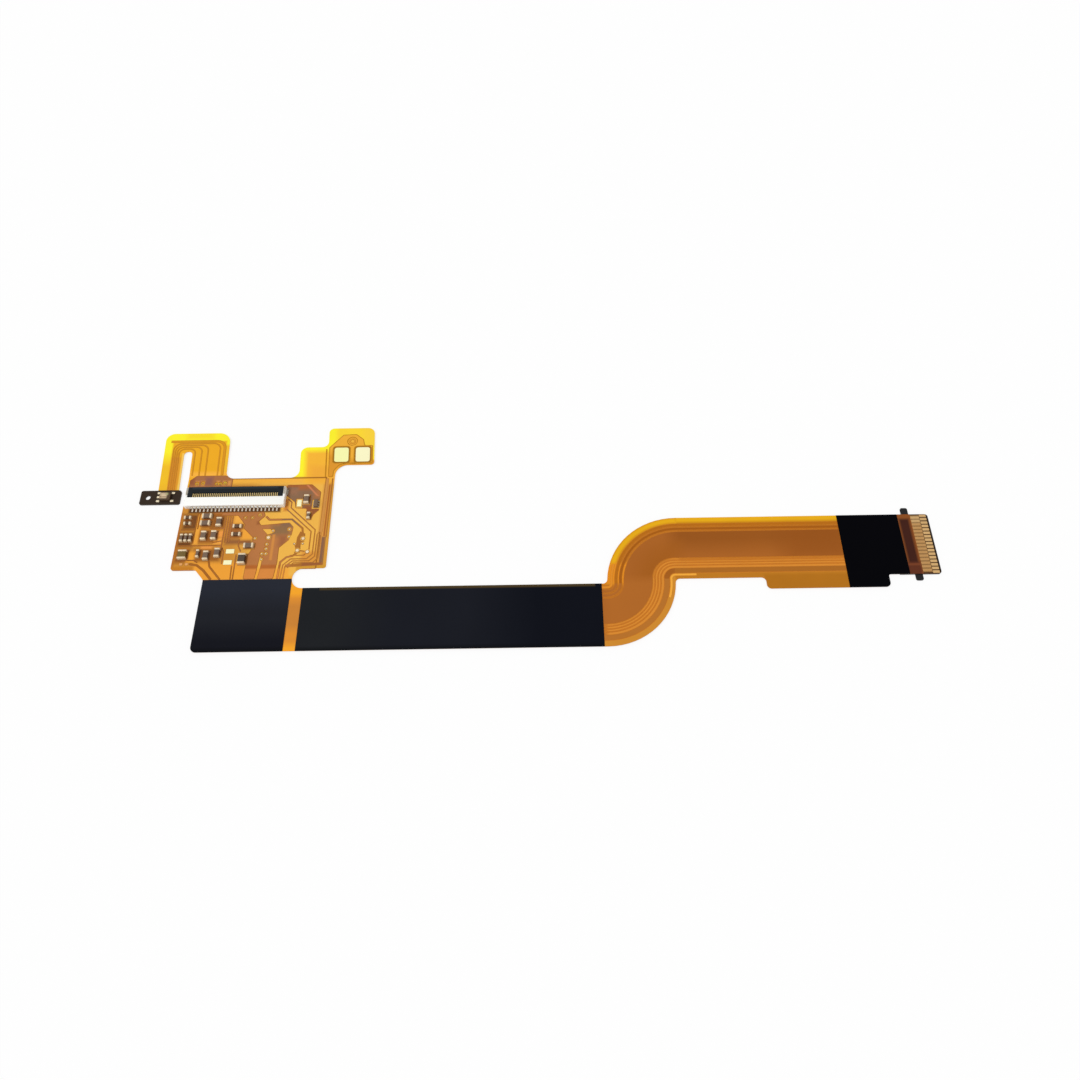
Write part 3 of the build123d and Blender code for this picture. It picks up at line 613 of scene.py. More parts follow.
def cover(node, name, top, edge, width=None, slot="covered_copper"):
    """Puts a copy with sloped edges in the place of a flat node."""
    return settle(shouldered(node, name, top, edge, width), CABLE, slot, node)


def rounded(node, name, width, material, body, slot):
    """Puts a copy with rounded edges in the place of a node."""
    piece = node_copy(node, name)
    flatten(piece)
    bevel(piece, width)
    smooth(piece)
    piece.data.materials.append(material)
    return settle(piece, body, slot, node)


# Tones of the board's film: colour, left, right, bottom, top and softness
BOARD_TONES = (
    ((244, 178, 66), board_left - 1, board_right + 1, 12.55, board_top + 0.4, 0.5),
    ((118, 72, 32), -115.5, -113.0, 4.3, 7.0, 0.7),
    ((110, 66, 30), -115.9, -113.5, 1.3, 3.8, 0.8),
    ((150, 88, 34), -115.7, -113.6, -1.5, 0.9, 0.8),
    ((152, 92, 34), -112.4, -110.9, 4.6, 7.1, 0.6),
    ((150, 92, 36), -111.0, -109.0, 4.5, 7.0, 0.6),
    ((158, 96, 38), -112.9, -109.6, 1.9, 4.2, 0.6),
    ((160, 98, 36), -112.9, -108.9, -1.3, 0.9, 0.7),
    ((168, 104, 48), -108.2, -106.0, 2.6, 5.3, 0.7),
    ((150, 96, 52), -108.4, -104.3, 1.6, 2.5, 0.6),
    ((240, 166, 62), -113.35, -112.65, 1.7, 7.0, 0.35),
    ((240, 156, 70), -110.1, -108.9, 2.9, 4.0, 0.4),
    ((242, 166, 68), -110.2, -109.0, 1.7, 2.7, 0.4),
    ((242, 172, 70), -107.6, -105.9, 5.2, 6.9, 0.6),
    ((240, 164, 58), -106.1, -104.5, 2.4, 4.2, 0.6),
    ((232, 152, 70), -112.0, -110.3, 0.9, 1.5, 0.3),
    ((242, 164, 54), -113.9, -112.7, -1.4, 0.4, 0.5),
    ((238, 160, 54), -112.6, -104.8, -5.0, -1.5, 0.7),
    ((240, 166, 60), -104.8, -98, -5.0, -2.6, 0.5),
    ((216, 150, 66), -94.3, -92.0, -1.8, 13.4, 0.4),
    ((214, 152, 56), -93.1, -92.0, -3.0, 13.4, 0.25),
    ((208, 150, 48), -97.0, -92.4, -3.0, -2.15, 0.2),
    ((222, 150, 58), -96.5, -93.7, -2.0, 0.2, 0.6),
    ((172, 98, 38), -93.45, -93.2, 2.8, 13.4, 0.14),
    ((140, 98, 66), -93.65, -93.02, -2.0, 2.7, 0.15),
    ((168, 104, 50), -96.0, -93.0, -2.15, -1.75, 0.15),
    ((178, 106, 36), -120.0, -115.7, -3.0, 7.2, 0.5),
    ((196, 124, 36), -116.2, -112.6, -3.0, -2.1, 0.4),
    # Dark film under the connector's feet: partly dark film, partly painted shadow of the leads.
    ((96, 62, 34), -115.0, -100.6, 7.2, 8.4, 0.35),
    ((196, 124, 54), -100.1, -99.4, 7.4, 9.6, 0.5),
    ((176, 110, 40), -115.9, -99.6, 11.1, 12.0, 0.7),
)
# Tones of the loop and the tab, which lean
LEANING_TONES = (
    ("loop", -122, -110, board_top - 0.9, 23, 0.5),
    ((250, 220, 42), -117.2, -112.8, 21.2, 22.4, 1.0),
    ("leg", -122, -116.4, board_top - 3, board_top + 3.8, 3.0),
    ((228, 188, 70), -117.7, -116.4, board_top - 3, board_top + 5.2, 0.3),
    ("loop_inner", -119.35, -110.6, board_top - 0.9, board_top + 7.3, 0.35),
    ((222, 150, 44), -119.2, -117.7, board_top - 3, board_top + 4.2, 0.3),
    ((246, 200, 96), -117.62, -117.3, board_top - 3, board_top + 5.0, 0.2),
    ((243, 188, 50), -110.9, -108, board_top + 0.6, board_top + 6.5, 0.5),
    ((248, 178, 64), -116.1, -109.6, board_top + 0.4, board_top + 1.3, 0.6),
    ("loop", -99.6, -80, board_top + 0.1, 24, 0.6),
    ((248, 212, 50), tab_edge + 1.3, -84, board_top + 6.2, 24, 1.0),
    ((247, 208, 58), tab_edge + 5.6, -84, board_top + 5.4, 24, 1.0),
    ((247, 182, 54), tab_edge - 3.6, -86.6, board_top - 1, board_top + 5.0, 0.9),
    ((240, 170, 56), tab_edge - 2.8, -86.8, board_top - 1, board_top + 2.2, 1.2),
)
# Tones of the board's copper
COPPER_TONES = (
    ("plane_copper", -111.2, -97.8, -2.3, 7.6, 0.3),
    ((178, 100, 42), -106, -98.6, -2.65, -2.0, 0.3),
    ((214, 134, 62), -106, -98.6, -5, -2.65, 0.3),
    ((142, 106, 70), -101.6, -98.6, 3.0, 5.0, 1.2),
    ((158, 96, 52), -104.0, -98.0, 5.0, 5.6, 0.3),
    ((160, 100, 62), -100.2, -99.0, 1.2, 3.0, 0.8),
    ((206, 136, 66), -101.25, -100.85, -1.2, 3.2, 0.2),
    ("grey_copper", board_right - 7.7, board_right - 1.9, 4.6, 14, 0.6),
    ((158, 92, 46), -101, board_right - 2.6, 11.7, 12.6, 0.35),
    ((166, 98, 52), -98.3, -95.2, 11.2, 12.2, 0.7),
    ((150, 106, 78), -99.6, -98.4, 10.4, 11.4, 0.8),
    ((150, 88, 50), -97.0, -94, 5.4, 8.3, 0.6),
    ((176, 112, 64), -95.6, -94.2, 9.6, 12, 1.0),
    ((168, 108, 66), board_left, -108.5, 11.2, 15, 0.6),
    ((146, 94, 78), -113.3, -112.1, 12.3, 13.8, 0.6),
    ((150, 88, 54), board_left, -115.0, 12.4, 13.8, 0.5),
)


def film_material():
    """Amber film: bright where it is bare, darker over copper, the stiffener and the tabs."""
    film = Painter("Film", "board", 0.36)
    film.zone("board_left", -125, -106, -5, board_top - 1.2, soft=5.0)
    film.zones(BOARD_TONES)
    # Painted shadow with copper land: a darker patch under each chip reaches further to its right and
    # back. It is partly the land round the chip and partly the chip's painted shadow.
    for node in sorted(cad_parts):
        if node.rsplit("_", 1)[0] in CHIP_SLOTS:
            low, high = span(node)
            film.zone((148, 88, 40), low.x - 0.02, high.x + 0.22, low.y - 0.1, high.y + 0.12, soft=0.3)
    arm_end = right_low.x + 2
    inner_corner = (bend_right + 0.7, arm_bottom - 0.7)
    between_shields = (left_high.x - 0.5, long_low.x + 0.5)
    film.zone("arm", long_high.x - 1, arm_end, -16, 6, soft=0.2)
    film.zone((184, 109, 26), upper_bend[0], arm_end, arm_top - 3.0, 6, soft=0.6)
    film.ring((190, 114, 28), upper_bend, upper_bend_r - 3, upper_bend_r, (-1, 1), soft=0.6)
    film.zone("arm_low", bend_right, arm_end, arm_bottom, -2.2, soft=0.8)
    film.ring("arm_low", lower_bend, lower_bend_r - 3.5, lower_bend_r + 1, (1, -1), soft=0.6)
    film.ring("arm_low", inner_corner, 0, 4.2, (-1, 1), soft=0.6)
    film.zone("lower_edge", long_high.x - 1, lower_bend[0], long_low.y - 1, long_low.y + 0.85, soft=0.2)
    film.ring("lower_edge", lower_bend, lower_bend_r - 0.85, lower_bend_r + 1, (1, -1), soft=0.2)
    film.ring("lower_edge", inner_corner, 0, 1.5, (-1, 1), soft=0.2)
    film.zone((188, 119, 29), bend_right, arm_end, arm_bottom - 0.1, arm_bottom + 0.85, soft=0.2)
    film.zone("flag", -26.6, -7.5, -7.4, arm_bottom + 0.5, soft=0.5)
    film.zone((193, 123, 18), upper_bend[0], arm_end, arm_top - 1.5, arm_top + 1, soft=0.6)
    film.ring((206, 135, 22), upper_bend, upper_bend_r - 1.3, upper_bend_r + 1, (-1, 1), soft=0.5)
    film.zone("arm_edge", upper_bend[0], arm_end, arm_top - 0.8, arm_top + 1, soft=0.5)
    film.ring("arm_edge", upper_bend, upper_bend_r - 0.85, upper_bend_r - 0.12, (-1, 1), soft=0.4)
    film.zone((226, 140, 30), -52, -46.3, -6.1, -2.6, soft=0.7)
    film.zone((222, 142, 46), *between_shields, -17, -4.2, soft=0.4)
    film.zone((200, 128, 50), *between_shields, -12.5, -8.2, soft=1.4)
    film.zone((244, 164, 40), *between_shields, -17, -14.9, soft=1.0)
    film.zone((244, 164, 40), *between_shields, -7.2, -4, soft=0.8)
    film.zones(LEANING_TONES, leaning=True)
    film.zone((222, 150, 38), board_right + 0.2, -84, board_top + 1.2, board_top + 3.2, soft=0.4)
    for pad in ("ground_pad_left", "ground_pad_right"):
        low, high = span(pad)
        left, right, bottom, top = low.x - 0.16, high.x + 0.16, low.y - 0.2, high.y + 0.2
        film.zone("rim", left, right, bottom, top, soft=0.06, above=film_high.z - 0.03)
    low, high = span("ground_via")
    film.zone("tab_copper", low.x - 0.18, high.x + 0.18, low.y - 0.18, high.y + 0.18)
    film.zone((240, 180, 62), low.x + 0.25, high.x - 0.25, low.y + 0.25, high.y - 0.25)
    film.zone("line", -109.6, board_right - 1.45, board_top - 0.16, board_top + 0.06, soft=0.14)
    film.zone("line", board_right - 1.62, board_right - 1.42, board_bottom, board_top, soft=0.14)
    film.zone("tail", cover_low.x, 1, -6, 6)
    film.zone((40, 28, 20), -0.36, 1, -6, 6, soft=0.15)
    film.zone("sensor_tab", -124, -116.62, sensor_low.y - 1, sensor_high.y + 0.04, soft=0.04)
    level = film_low.z + 0.012
    film.zone("underside", left_low.x - 1, right_high.x + 1, -17, 6, soft=0.01, below=level)
    film.zone("sensor_tab", -124, -116.62, sensor_low.y - 1, sensor_high.y, soft=0.01, below=level)
    for low, high, left_out, top_out in (
        (left_low, left_high, 0.02, -0.05),
        (long_low, long_high, -0.05, 0.02),
        (right_low, right_high, -0.05, 0.02),
    ):
        left, right = low.x - left_out, high.x - 0.05
        film.zone("shield_dark", left, right, low.y - 1, high.y + top_out, soft=0.01, above=level)
    return film.finish(amount=0.06, scale=260.0, fine=0.03, bump=0.2)


class FLEX_OT_film(bpy.types.Operator):
    """Finishes the film and the stiffeners under it"""

    bl_idname = "flex.film"
    bl_label = "Film and stiffeners"

    def execute(self, context):
        paint("flex_film", film_material())
        plate = Painter("Stiffener plate", (176, 108, 34), 0.45, shine=0.3)
        plate = plate.finish(amount=0.08, fine=0.06, bump=0.2)
        paint("board_stiffener", plate)
        for node, name, colour, shine in (
            ("sensor_stiffener", "Sensor plate", "sensor_tab", 0.5),
            ("tail_stiffener", "Tail plate", "shield_dark", 0.25),
        ):
            paint(node, Painter(name, colour, 0.5, shine=shine).finish(bump=0.2))
        return {"FINISHED"}


class FLEX_OT_shields(bpy.types.Operator):
    """Finishes the black shielding films"""

    bl_idname = "flex.shields"
    bl_label = "Shields"

    def execute(self, context):
        dark = Painter("Shield, tail", "shield_dark", 0.5, shine=0.02)
        paint("shield_right", dark.finish(amount=0.2, scale=120.0, fine=0.2, bump=0.3))
        # Painted sheen: the board's shield is lighter at the top and darker towards the bottom, with a
        # darker strip along its lower edge.
        left = Painter("Shield, board", (37, 40, 49), 0.5, shine=0.03)
        left.zone((28, 29, 34), *ANYWHERE, -17, -8.4, soft=5.0)
        left.zone("shield", *ANYWHERE, -17, -13.0, soft=4.0)
        left.zone((8, 9, 12), *ANYWHERE, left_low.y - 1, left_low.y + 0.35, soft=0.9)
        paint("shield_left", left.finish(amount=0.1, scale=120.0, fine=0.12, bump=0.3))
        # Painted sheen: the strip's shield is lighter at the left and darker towards the right, with a
        # darker strip along its lower edge. The olive band along its top edge is the film's own
        # translucent edge.
        long = Painter("Shield, strip", (29, 31, 34), 0.5, shine=0.03)
        long.zone((18, 20, 31), -83, 0, -17, -5, soft=16.0)
        long.zone((0, 2, 12), -62, 0, -17, -5, soft=18.0)
        long.zone((8, 9, 12), *ANYWHERE, long_low.y - 1, long_low.y + 0.3, soft=0.8)
        long.zone((72, 58, 34), -93, -52, long_high.y - 0.4, long_high.y + 1, soft=0.25)
        paint("shield_long", long.finish(amount=0.1, scale=120.0, fine=0.12, bump=0.3))
        return {"FINISHED"}


class FLEX_OT_copper(bpy.types.Operator):
    """Models the copper under the coverlay, with its sloped edges"""

    bl_idname = "flex.copper"
    bl_label = "Covered copper"

    def execute(self, context):
        wide = Painter("Bend copper", "bend_copper")
        wide.zone((148, 82, 22), bend_right, 0, 0.0, 6, soft=3.0)
        wide.zone((148, 80, 19), -22, 0, -2.0, 6, soft=6.0)
        wide.ring((161, 91, 24), upper_bend, 0, upper_bend_r - 4.6, (-1, 1), soft=3.0)
        wide.ring((174, 102, 36), lower_bend, 0, lower_bend_r - 3, (1, -1), soft=1.6)
        wide.zone((163, 90, 12), upper_bend[0], 0, arm_top - 2.3, 6)
        wide.ring((163, 90, 12), upper_bend, upper_bend_r - 2.3, upper_bend_r, (-1, 1))
        wide.zone("band_copper", upper_bend[0], 0, arm_top - 1.65, 6)
        wide.ring("band_copper", upper_bend, upper_bend_r - 1.65, upper_bend_r, (-1, 1))
        wide.zone((170, 103, 31), bend_right, 0, arm_bottom - 0.2, arm_bottom + 1.8)
        wide.ring((180, 111, 40), lower_bend, lower_bend_r - 1.8, lower_bend_r, (1, -1))
        wide.zone((180, 111, 40), -52, lower_bend[0], long_low.y, long_low.y + 1.8)
        wide = wide.finish(amount=0.07, scale=90.0, fine=0.03, bump=0.2)
        wide_edge = Painter("Bend copper edge", (190, 112, 30)).finish()
        cover("bend_copper", "wide_copper", wide, wide_edge)

        fine = Painter("Fine copper", "fine_copper").finish(amount=0.05)
        fine_edge = Painter("Fine copper edge", (186, 106, 28)).finish()
        cover("bend_fine_traces", "fine_copper", fine, fine_edge, 0.05)

        guard = Painter("Tear guard", "guard", 0.36, shine=0.2)
        guard.zone((222, 138, 30), -52, -45, -7, -2, soft=0.3)
        guard = guard.finish(amount=0.03)
        guard_edge = Painter("Tear guard edge", (206, 126, 32)).finish()
        cover("tear_guards", "corner_guards", guard, guard_edge, 0.04)

        board = Painter("Board copper", "board_copper")
        board.zones(COPPER_TONES)
        for lobe in (-114.5, -113.6, -111.2, -110.2, -109.4):
            board.zone((220, 150, 76), lobe - 0.25, lobe + 0.25, 12.2, 13.1, soft=0.35)
        board.zone((170, 108, 44), -98.0, -92, -5, 4.6, soft=0.4)
        board.zone((206, 142, 70), board_right - 2.0, board_right - 0.9, 3.0, 13.2, soft=0.2)
        board.zone((138, 96, 68), board_right - 1.25, -92, -2.4, 2.9, soft=0.25)
        board.zone((156, 94, 50), -96.2, board_right - 0.6, -2.4, -1.7, soft=0.2)
        board.stripe((214, 132, 88), (-95.1, 10.1), (-96.9, 12.1), 0.2, soft=0.3)
        board.zone((164, 100, 34), board_left, -109.6, -5, 7.1, soft=0.3)
        board = board.finish(amount=0.1, scale=300.0, fine=0.06, bump=0.3)
        board_edge = Painter("Board copper edge", (150, 88, 34))
        board_edge.zone((184, 120, 50), -99.5, -92, -4.8, 9.0, soft=0.3)
        board_edge.zone((192, 130, 58), board_right - 2.0, board_right - 0.9, 3.0, 13.2, soft=0.2)
        board_edge = board_edge.finish()
        cover("board_copper", "board_planes", board, board_edge)

        loop = Painter("Loop copper", "loop_copper", 0.38)
        loop.zone((210, 130, 40), -120, -117.6, 8, 18, soft=2.0, leaning=True)
        loop = loop.finish(amount=0.05)
        loop_edge = Painter("Loop copper edge", (186, 124, 28), 0.38).finish()
        cover("loop_copper", "loop_traces", loop, loop_edge, 0.07)

        tab = Painter("Tab copper", "tab_copper", 0.38)
        tab.zone((220, 148, 44), -95, -91.5, 12, board_top + 4.5, soft=1.5, leaning=True)
        tab.zone((216, 146, 40), -91, -85, board_top + 1.5, board_top + 3.3, soft=1.0, leaning=True)
        tab = tab.finish(amount=0.05)
        rim = Painter("Tab copper edge", (186, 126, 24), 0.38).finish()
        cover("tab_copper", "tab_plane", tab, rim, 0.14)
        return {"FINISHED"}


class FLEX_OT_tail(bpy.types.Operator):
    """Finishes the contact tail's coverlay and gold contacts"""

    bl_idname = "flex.tail"
    bl_label = "Contact tail"

    def execute(self, context):
        coverlay = Painter("Tail coverlay", (138, 76, 30), 0.42)
        coverlay.zone((60, 24, 12), cover_low.x + 0.15, cover_high.x - 0.3, -4.7, 4.3, soft=0.5)
        coverlay.zone((92, 44, 24), cover_low.x - 1, cover_high.x - 0.1, -6, -3.2, soft=0.6)
        coverlay.zone((116, 60, 32), cover_low.x - 1, cover_high.x, -3.7, -3.35, soft=0.25)
        paint("tail_coverlay", coverlay.finish(amount=0.1))
        finger = Painter("Tail gold", "finger", 0.34, shine=0.3)
        finger.zone((206, 166, 108), -1.32, 0, -6, 6)
        finger.zone((196, 158, 104), -2.75, 0, 3.6, 6, soft=0.5)
        paint("tail_fingers", finger.finish(amount=0.06, fine=0.05))
        return {"FINISHED"}


PLATED = {"amount": 0.03, "fine": 0.03, "bump": 0.15}


class FLEX_OT_pads(bpy.types.Operator):
    """Models the ground pads and finishes the board's bare metal"""

    bl_idname = "flex.pads"
    bl_label = "Pads and plated holes"

    def execute(self, context):
        gold = Painter("Pad gold", "gold", 0.36, shine=0.25).finish(**PLATED)
        rim = Painter("Pad rim", (158, 108, 22)).finish()
        pale = Painter("Pale pad gold", "pale_gold", 0.36, shine=0.25).finish(**PLATED)
        for node, name, plating in (
            ("ground_pad_left", "left_pad", gold),
            ("ground_pad_right", "right_pad", pale),
        ):
            cover(node, name, plating, rim, 0.03, "gold")
        ring = Painter("Via ring", (224, 156, 46), 0.38).finish()
        ring_edge = Painter("Via ring edge", (170, 110, 24)).finish()
        cover("ground_via", "tab_via", ring, ring_edge, 0.05, "gold")
        via = Painter("Plated hole", (242, 214, 174), 0.36, shine=0.2)
        via.zone((226, 168, 86), board_left, board_right, 11, 14, soft=0.2)
        via.zone((226, 176, 110), -107, -103, 5.6, 7.4, soft=0.2)
        via = via.finish()
        via_edge = Painter("Plated hole edge", (112, 72, 36)).finish()
        cover("board_vias", "plated_holes", via, via_edge, 0.075, "gold")
        spare = Painter("Spare pad gold", "pale_gold", 0.36, shine=0.25)
        spare.zone((224, 160, 96), board_left, -113, -3, -1)
        spare = spare.finish(**PLATED)
        cover("spare_pads", "bare_pads", spare, rim, 0.04, "gold")
        paint("solder_pads", Painter("Pad tin", (176, 134, 82), 0.4, shine=0.2).finish(fine=0.1))
        return {"FINISHED"}


def latch_plate(name, low, high, side, metal):
    """A thin metal plate on the end wall beside the lock bar, with a slot in it."""
    inner, outer = 0.27, 0.03
    front, back = 1.35, 0.05
    wall_drop, sink = 0.05, 0.004
    rim, slope, depth = 0.06 * MM, 0.012 * MM, 0.03 * MM
    edge = low.x if side < 0 else high.x
    x0, x1 = sorted((edge - side * inner, edge - side * outer))
    plate = box(
        name,
        (x0, high.y - front, high.z - wall_drop - sink),
        (x1, high.y - back, high.z - sink),
        metal,
    )
    with editing(plate):
        pick(plate, lambda face: face.normal.z > FLAT)
        bpy.ops.mesh.inset(thickness=rim, depth=0)
        bpy.ops.mesh.inset(thickness=slope, depth=-depth)
    bevel(plate, 0.01 * MM)
    smooth(plate)
    return plate


class FLEX_OT_connector(bpy.types.Operator):
    """Models the housing, the lock bar and the blades of the board connector"""

    bl_idname = "flex.connector"
    bl_label = "Board connector"

    def execute(self, context):
        white = Painter("Housing plastic", "housing", 0.45, shine=0.2)
        white = white.finish(amount=0.015, fine=0.015, bump=0.15)
        width = sizes().housing_round
        rounded("connector_housing", "white_housing", width, white, CABLE, "housing")

        black = Painter("Lock bar plastic", "actuator", 0.42, shine=0.15)
        # Painted sheen: a narrow lighter teal band along the lock bar.
        black.zone((34, 46, 52), -114.6, -101.2, 11.0, 11.3, soft=0.3)
        black = black.finish(amount=0.1, fine=0.08, bump=0.2)
        width = sizes().actuator_round
        rounded("connector_actuator", "black_lock_bar", width, black, LOCK, "actuator")

        low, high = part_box("connector_housing")
        blade = Painter("Blade plating", "blade", 0.36, metallic=0.2, shine=0.3)
        blade.zone((214, 204, 188), -130, -90, 0, low.y / MM)
        paint("connector_contacts", blade.finish(amount=0.08, fine=0.05))
        nail = Painter("Nail tin", (176, 168, 152), 0.38, metallic=0.3, shine=0.3).finish()
        paint("connector_nail_left", nail)
        paint("connector_nail_right", nail)
        for side, name in ((-1, "left_latch_plate"), (1, "right_latch_plate")):
            settle(latch_plate(name, low / MM, high / MM, side, nail), CABLE, "contact")
        return {"FINISHED"}


def body_material(name, colour):
    """A chip body's moulded or fired finish."""
    return Painter(name, colour, 0.45, shine=0.2).finish(amount=0.14, fine=0.16, bump=0.4)


def solder_slope(name, side, length, width, height, material):
    """Solder that falls away from a chip's end, in millimetres."""
    end, reach = sizes().end_length / MM, sizes().solder / MM
    spread, sink = 0.04, 0.005
    high_share, fall_share = 0.55, 0.45
    x0, x1 = sorted((side * (length / 2 - end / 2), side * (length / 2 + spread)))
    low = (x0, -width / 2 - spread, -sink)
    slope = box(name, low, (x1, width / 2 + spread, height * high_share), material)
    middle = (x0 + x1) / 2 * MM
    with editing(slope, VERTICES):
        mesh = bmesh.from_edit_mesh(slope.data)
        for vert in mesh.verts:
            outer = (vert.co.x - middle) * side > 0
            vert.select_set(outer and vert.co.z > 0)
        mesh.select_flush_mode()
        bmesh.update_edit_mesh(slope.data)
        bpy.ops.transform.translate(value=(0, 0, -height * fall_share * MM))
    bevel(slope, min(reach * 0.2, 0.05) * MM)
    return slope


def model_chip(name, low, high, body, tin, solder):
    """A chip with rounded metal ends and a slope of solder at each end, in millimetres."""
    end = sizes().end_length / MM
    along, across, height = (top - base for base, top in zip(low, high))
    turned = across > along
    length, width = max(along, across), min(along, across)
    inset = 0.03
    core = box(
        name,
        (-length / 2 + end / 2, -width / 2 + inset, inset),
        (length / 2 - end / 2, width / 2 - inset, height - inset),
        body,
    )
    bevel(core, sizes().chip_round)
    pieces = [core]
    for side in (-1, 1):
        x0, x1 = sorted((side * length / 2, side * (length / 2 - end)))
        cap = box(name + "_end", (x0, -width / 2, 0), (x1, width / 2, height), tin)
        bevel(cap, sizes().end_round, segments=3)
        pieces += [cap, solder_slope(name + "_solder", side, length, width, height, solder)]
    chip = join(pieces, name)
    smooth(chip)
    if turned:
        chip.data.transform(Matrix.Rotation(radians(90), 4, "Z"))
    middle = (low + high) / 2
    chip.data.transform(Matrix.Translation(Vector((middle.x, middle.y, low.z)) * MM))
    return chip


class FLEX_OT_chips(bpy.types.Operator):
    """Models the chip parts with metal ends and solder"""

    bl_idname = "flex.chips"
    bl_label = "Chip parts"

    def execute(self, context):
        tin = Painter("Chip end tin", "tin", 0.32, metallic=0.1, shine=0.3)
        tin = tin.finish(amount=0.2, fine=0.15)
        solder = Painter("Solder", (178, 152, 112), 0.3, metallic=0.2, shine=0.3)
        solder = solder.finish(amount=0.2, fine=0.2)
        bodies = {
            "capacitor": body_material("Chip ceramic", (116, 96, 80)),
            "resistor": body_material("Chip black", (98, 72, 50)),
            "coil": body_material("Chip ferrite", (78, 66, 56)),
            "diode": body_material("Chip resin", (112, 92, 46)),
        }
        for node in sorted(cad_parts):
            kind = node.rsplit("_", 1)[0]
            if kind in bodies:
                low, high = span(node)
                chip = model_chip("chip_" + node, low, high, bodies[kind], tin, solder)
                settle(chip, CABLE, CHIP_SLOTS[kind], node)
        return {"FINISHED"}


class FLEX_OT_driver(bpy.types.Operator):
    """Models the small chip with leads"""

    bl_idname = "flex.driver"
    bl_label = "Small chip with leads"

    def execute(self, context):
        low, high = span("level_driver")
        middle = (low + high) / 2
        lead, lift, pitch, half = 0.2, 0.06, 0.42, 0.09
        foot_top, knee_low, knee_high, knee_w = 0.07, 0.01, 0.24, 0.1
        body = box(
            "small_chip",
            (low.x + lead, low.y, low.z + lift),
            (high.x - lead, high.y, high.z),
            body_material("Driver resin", (116, 94, 74)),
        )
        bevel(body, 0.05 * MM)
        tin = Painter("Lead tin", (184, 170, 148), 0.32, metallic=0.1, shine=0.3).finish()
        pieces = [body]
        for side in (-1, 1):
            inner = middle.x + side * (high.x - low.x) * 0.26
            outer = high.x if side > 0 else low.x
            for step in (-1, 0, 1):
                y = middle.y + step * pitch
                x0, x1 = sorted((inner + side * 0.04, outer))
                foot = box("foot", (x0, y - half, low.z), (x1, y + half, low.z + foot_top), tin)
                x0, x1 = sorted((inner, inner + side * knee_w))
                knee_top = low.z + knee_high
                knee = box("knee", (x0, y - half, low.z + knee_low), (x1, y + half, knee_top), tin)
                pieces += [foot, knee]
        chip = join(pieces, "small_chip")
        smooth(chip)
        settle(chip, CABLE, "black_chip", "level_driver")
        return {"FINISHED"}


class FLEX_OT_sensor(bpy.types.Operator):
    """Models the light sensor and its terminals"""

    bl_idname = "flex.sensor"
    bl_label = "Light sensor"

    def execute(self, context):
        low, high = span("sensor_body")
        middle = (low + high) / 2
        tan_resin = Painter("Sensor resin", (136, 112, 86), 0.4, shine=0.2)
        tan_resin.zones(
            [
                ((206, 182, 150), low.x + 0.1, middle.x + 0.3, middle.y - 0.4, high.y - 0.1, 0.25),
                ((122, 96, 68), low.x + 0.1, middle.x + 0.3, middle.y - 0.2, middle.y - 0.08, 0.08),
                ((74, 56, 40), low.x - 1, high.x + 1, low.y - 1, low.y + 0.2, 0.15),
                ((78, 60, 44), high.x - 0.5, high.x + 1, low.y - 1, high.y + 1, 0.25),
                ((170, 166, 120), middle.x + 0.1, high.x - 0.35, high.y - 0.42, high.y - 0.12, 0.2),
            ]
        )
        tan_resin = tan_resin.finish(amount=0.2, scale=1800.0, fine=0.1)
        body = box("sensor", low, high, tan_resin)
        bevel(body, 0.05 * MM, segments=3)
        with editing(body):
            mesh = bmesh.from_edit_mesh(body.data)
            top = max(mesh.faces, key=lambda face: face.calc_center_median().z + face.calc_area())
            pick(body, lambda face: face.index == top.index)
            bpy.ops.mesh.inset(thickness=0.16 * MM, depth=0)
            bpy.ops.mesh.inset(thickness=0.05 * MM, depth=-0.06 * MM)
        smooth(body)
        settle(body, CABLE, "sensor", "sensor_body")
        pale = Painter("Sensor terminal", (230, 216, 184), 0.36, metallic=0.05, shine=0.3)
        pale = pale.finish(fine=0.05)
        rounded("sensor_terminals", "sensor_feet", 0.03 * MM, pale, CABLE, "solder")
        return {"FINISHED"}


# The light and the photograph's view, with places in millimetres
SOFT_LIGHT = 0.64
STAGE_GLOW = 0.8
SUN_FROM, SUN_POWER, SUN_ANGLE = (-0.45, -0.25, 0.8), 1.35, 16
LENS, CAMERA_ROLL = 28.91, -0.86
CAMERA_AT, CAMERA_TARGET = (-60.09, -60.824, 117.66), (-60.09, 1.566, 0.32)


class FLEX_OT_stage(bpy.types.Operator):
    """Adds the floor, the soft light and the camera"""

    bl_idname = "flex.stage"
    bl_label = "Stage"

    def execute(self, context):
        scene = context.scene
        deselect()
        bpy.ops.mesh.primitive_plane_add(size=6, location=(-0.06, 0, -0.01 * MM))
        floor = context.object
        floor.name = "floor"
        floor.data.materials.append(stage_material())

        world = bpy.data.worlds.new("Studio")
        world.use_nodes = True
        nodes = world.node_tree.nodes
        soft = nodes["Background"]
        soft.inputs["Color"].default_value = (1, 1, 1, 1)
        soft.inputs["Strength"].default_value = SOFT_LIGHT
        seen = nodes.new("ShaderNodeBackground")
        seen.inputs["Color"].default_value = (1, 1, 1, 1)
        seen.inputs["Strength"].default_value = 1.0
        mix_shaders(world.node_tree, seen_share(world.node_tree), soft, seen, "World Output")
        scene.world = world

        sun(scene, "Key light", SUN_FROM, SUN_POWER)
        add_camera(scene)
        scene.view_settings.view_transform = "Standard"
        return {"FINISHED"}


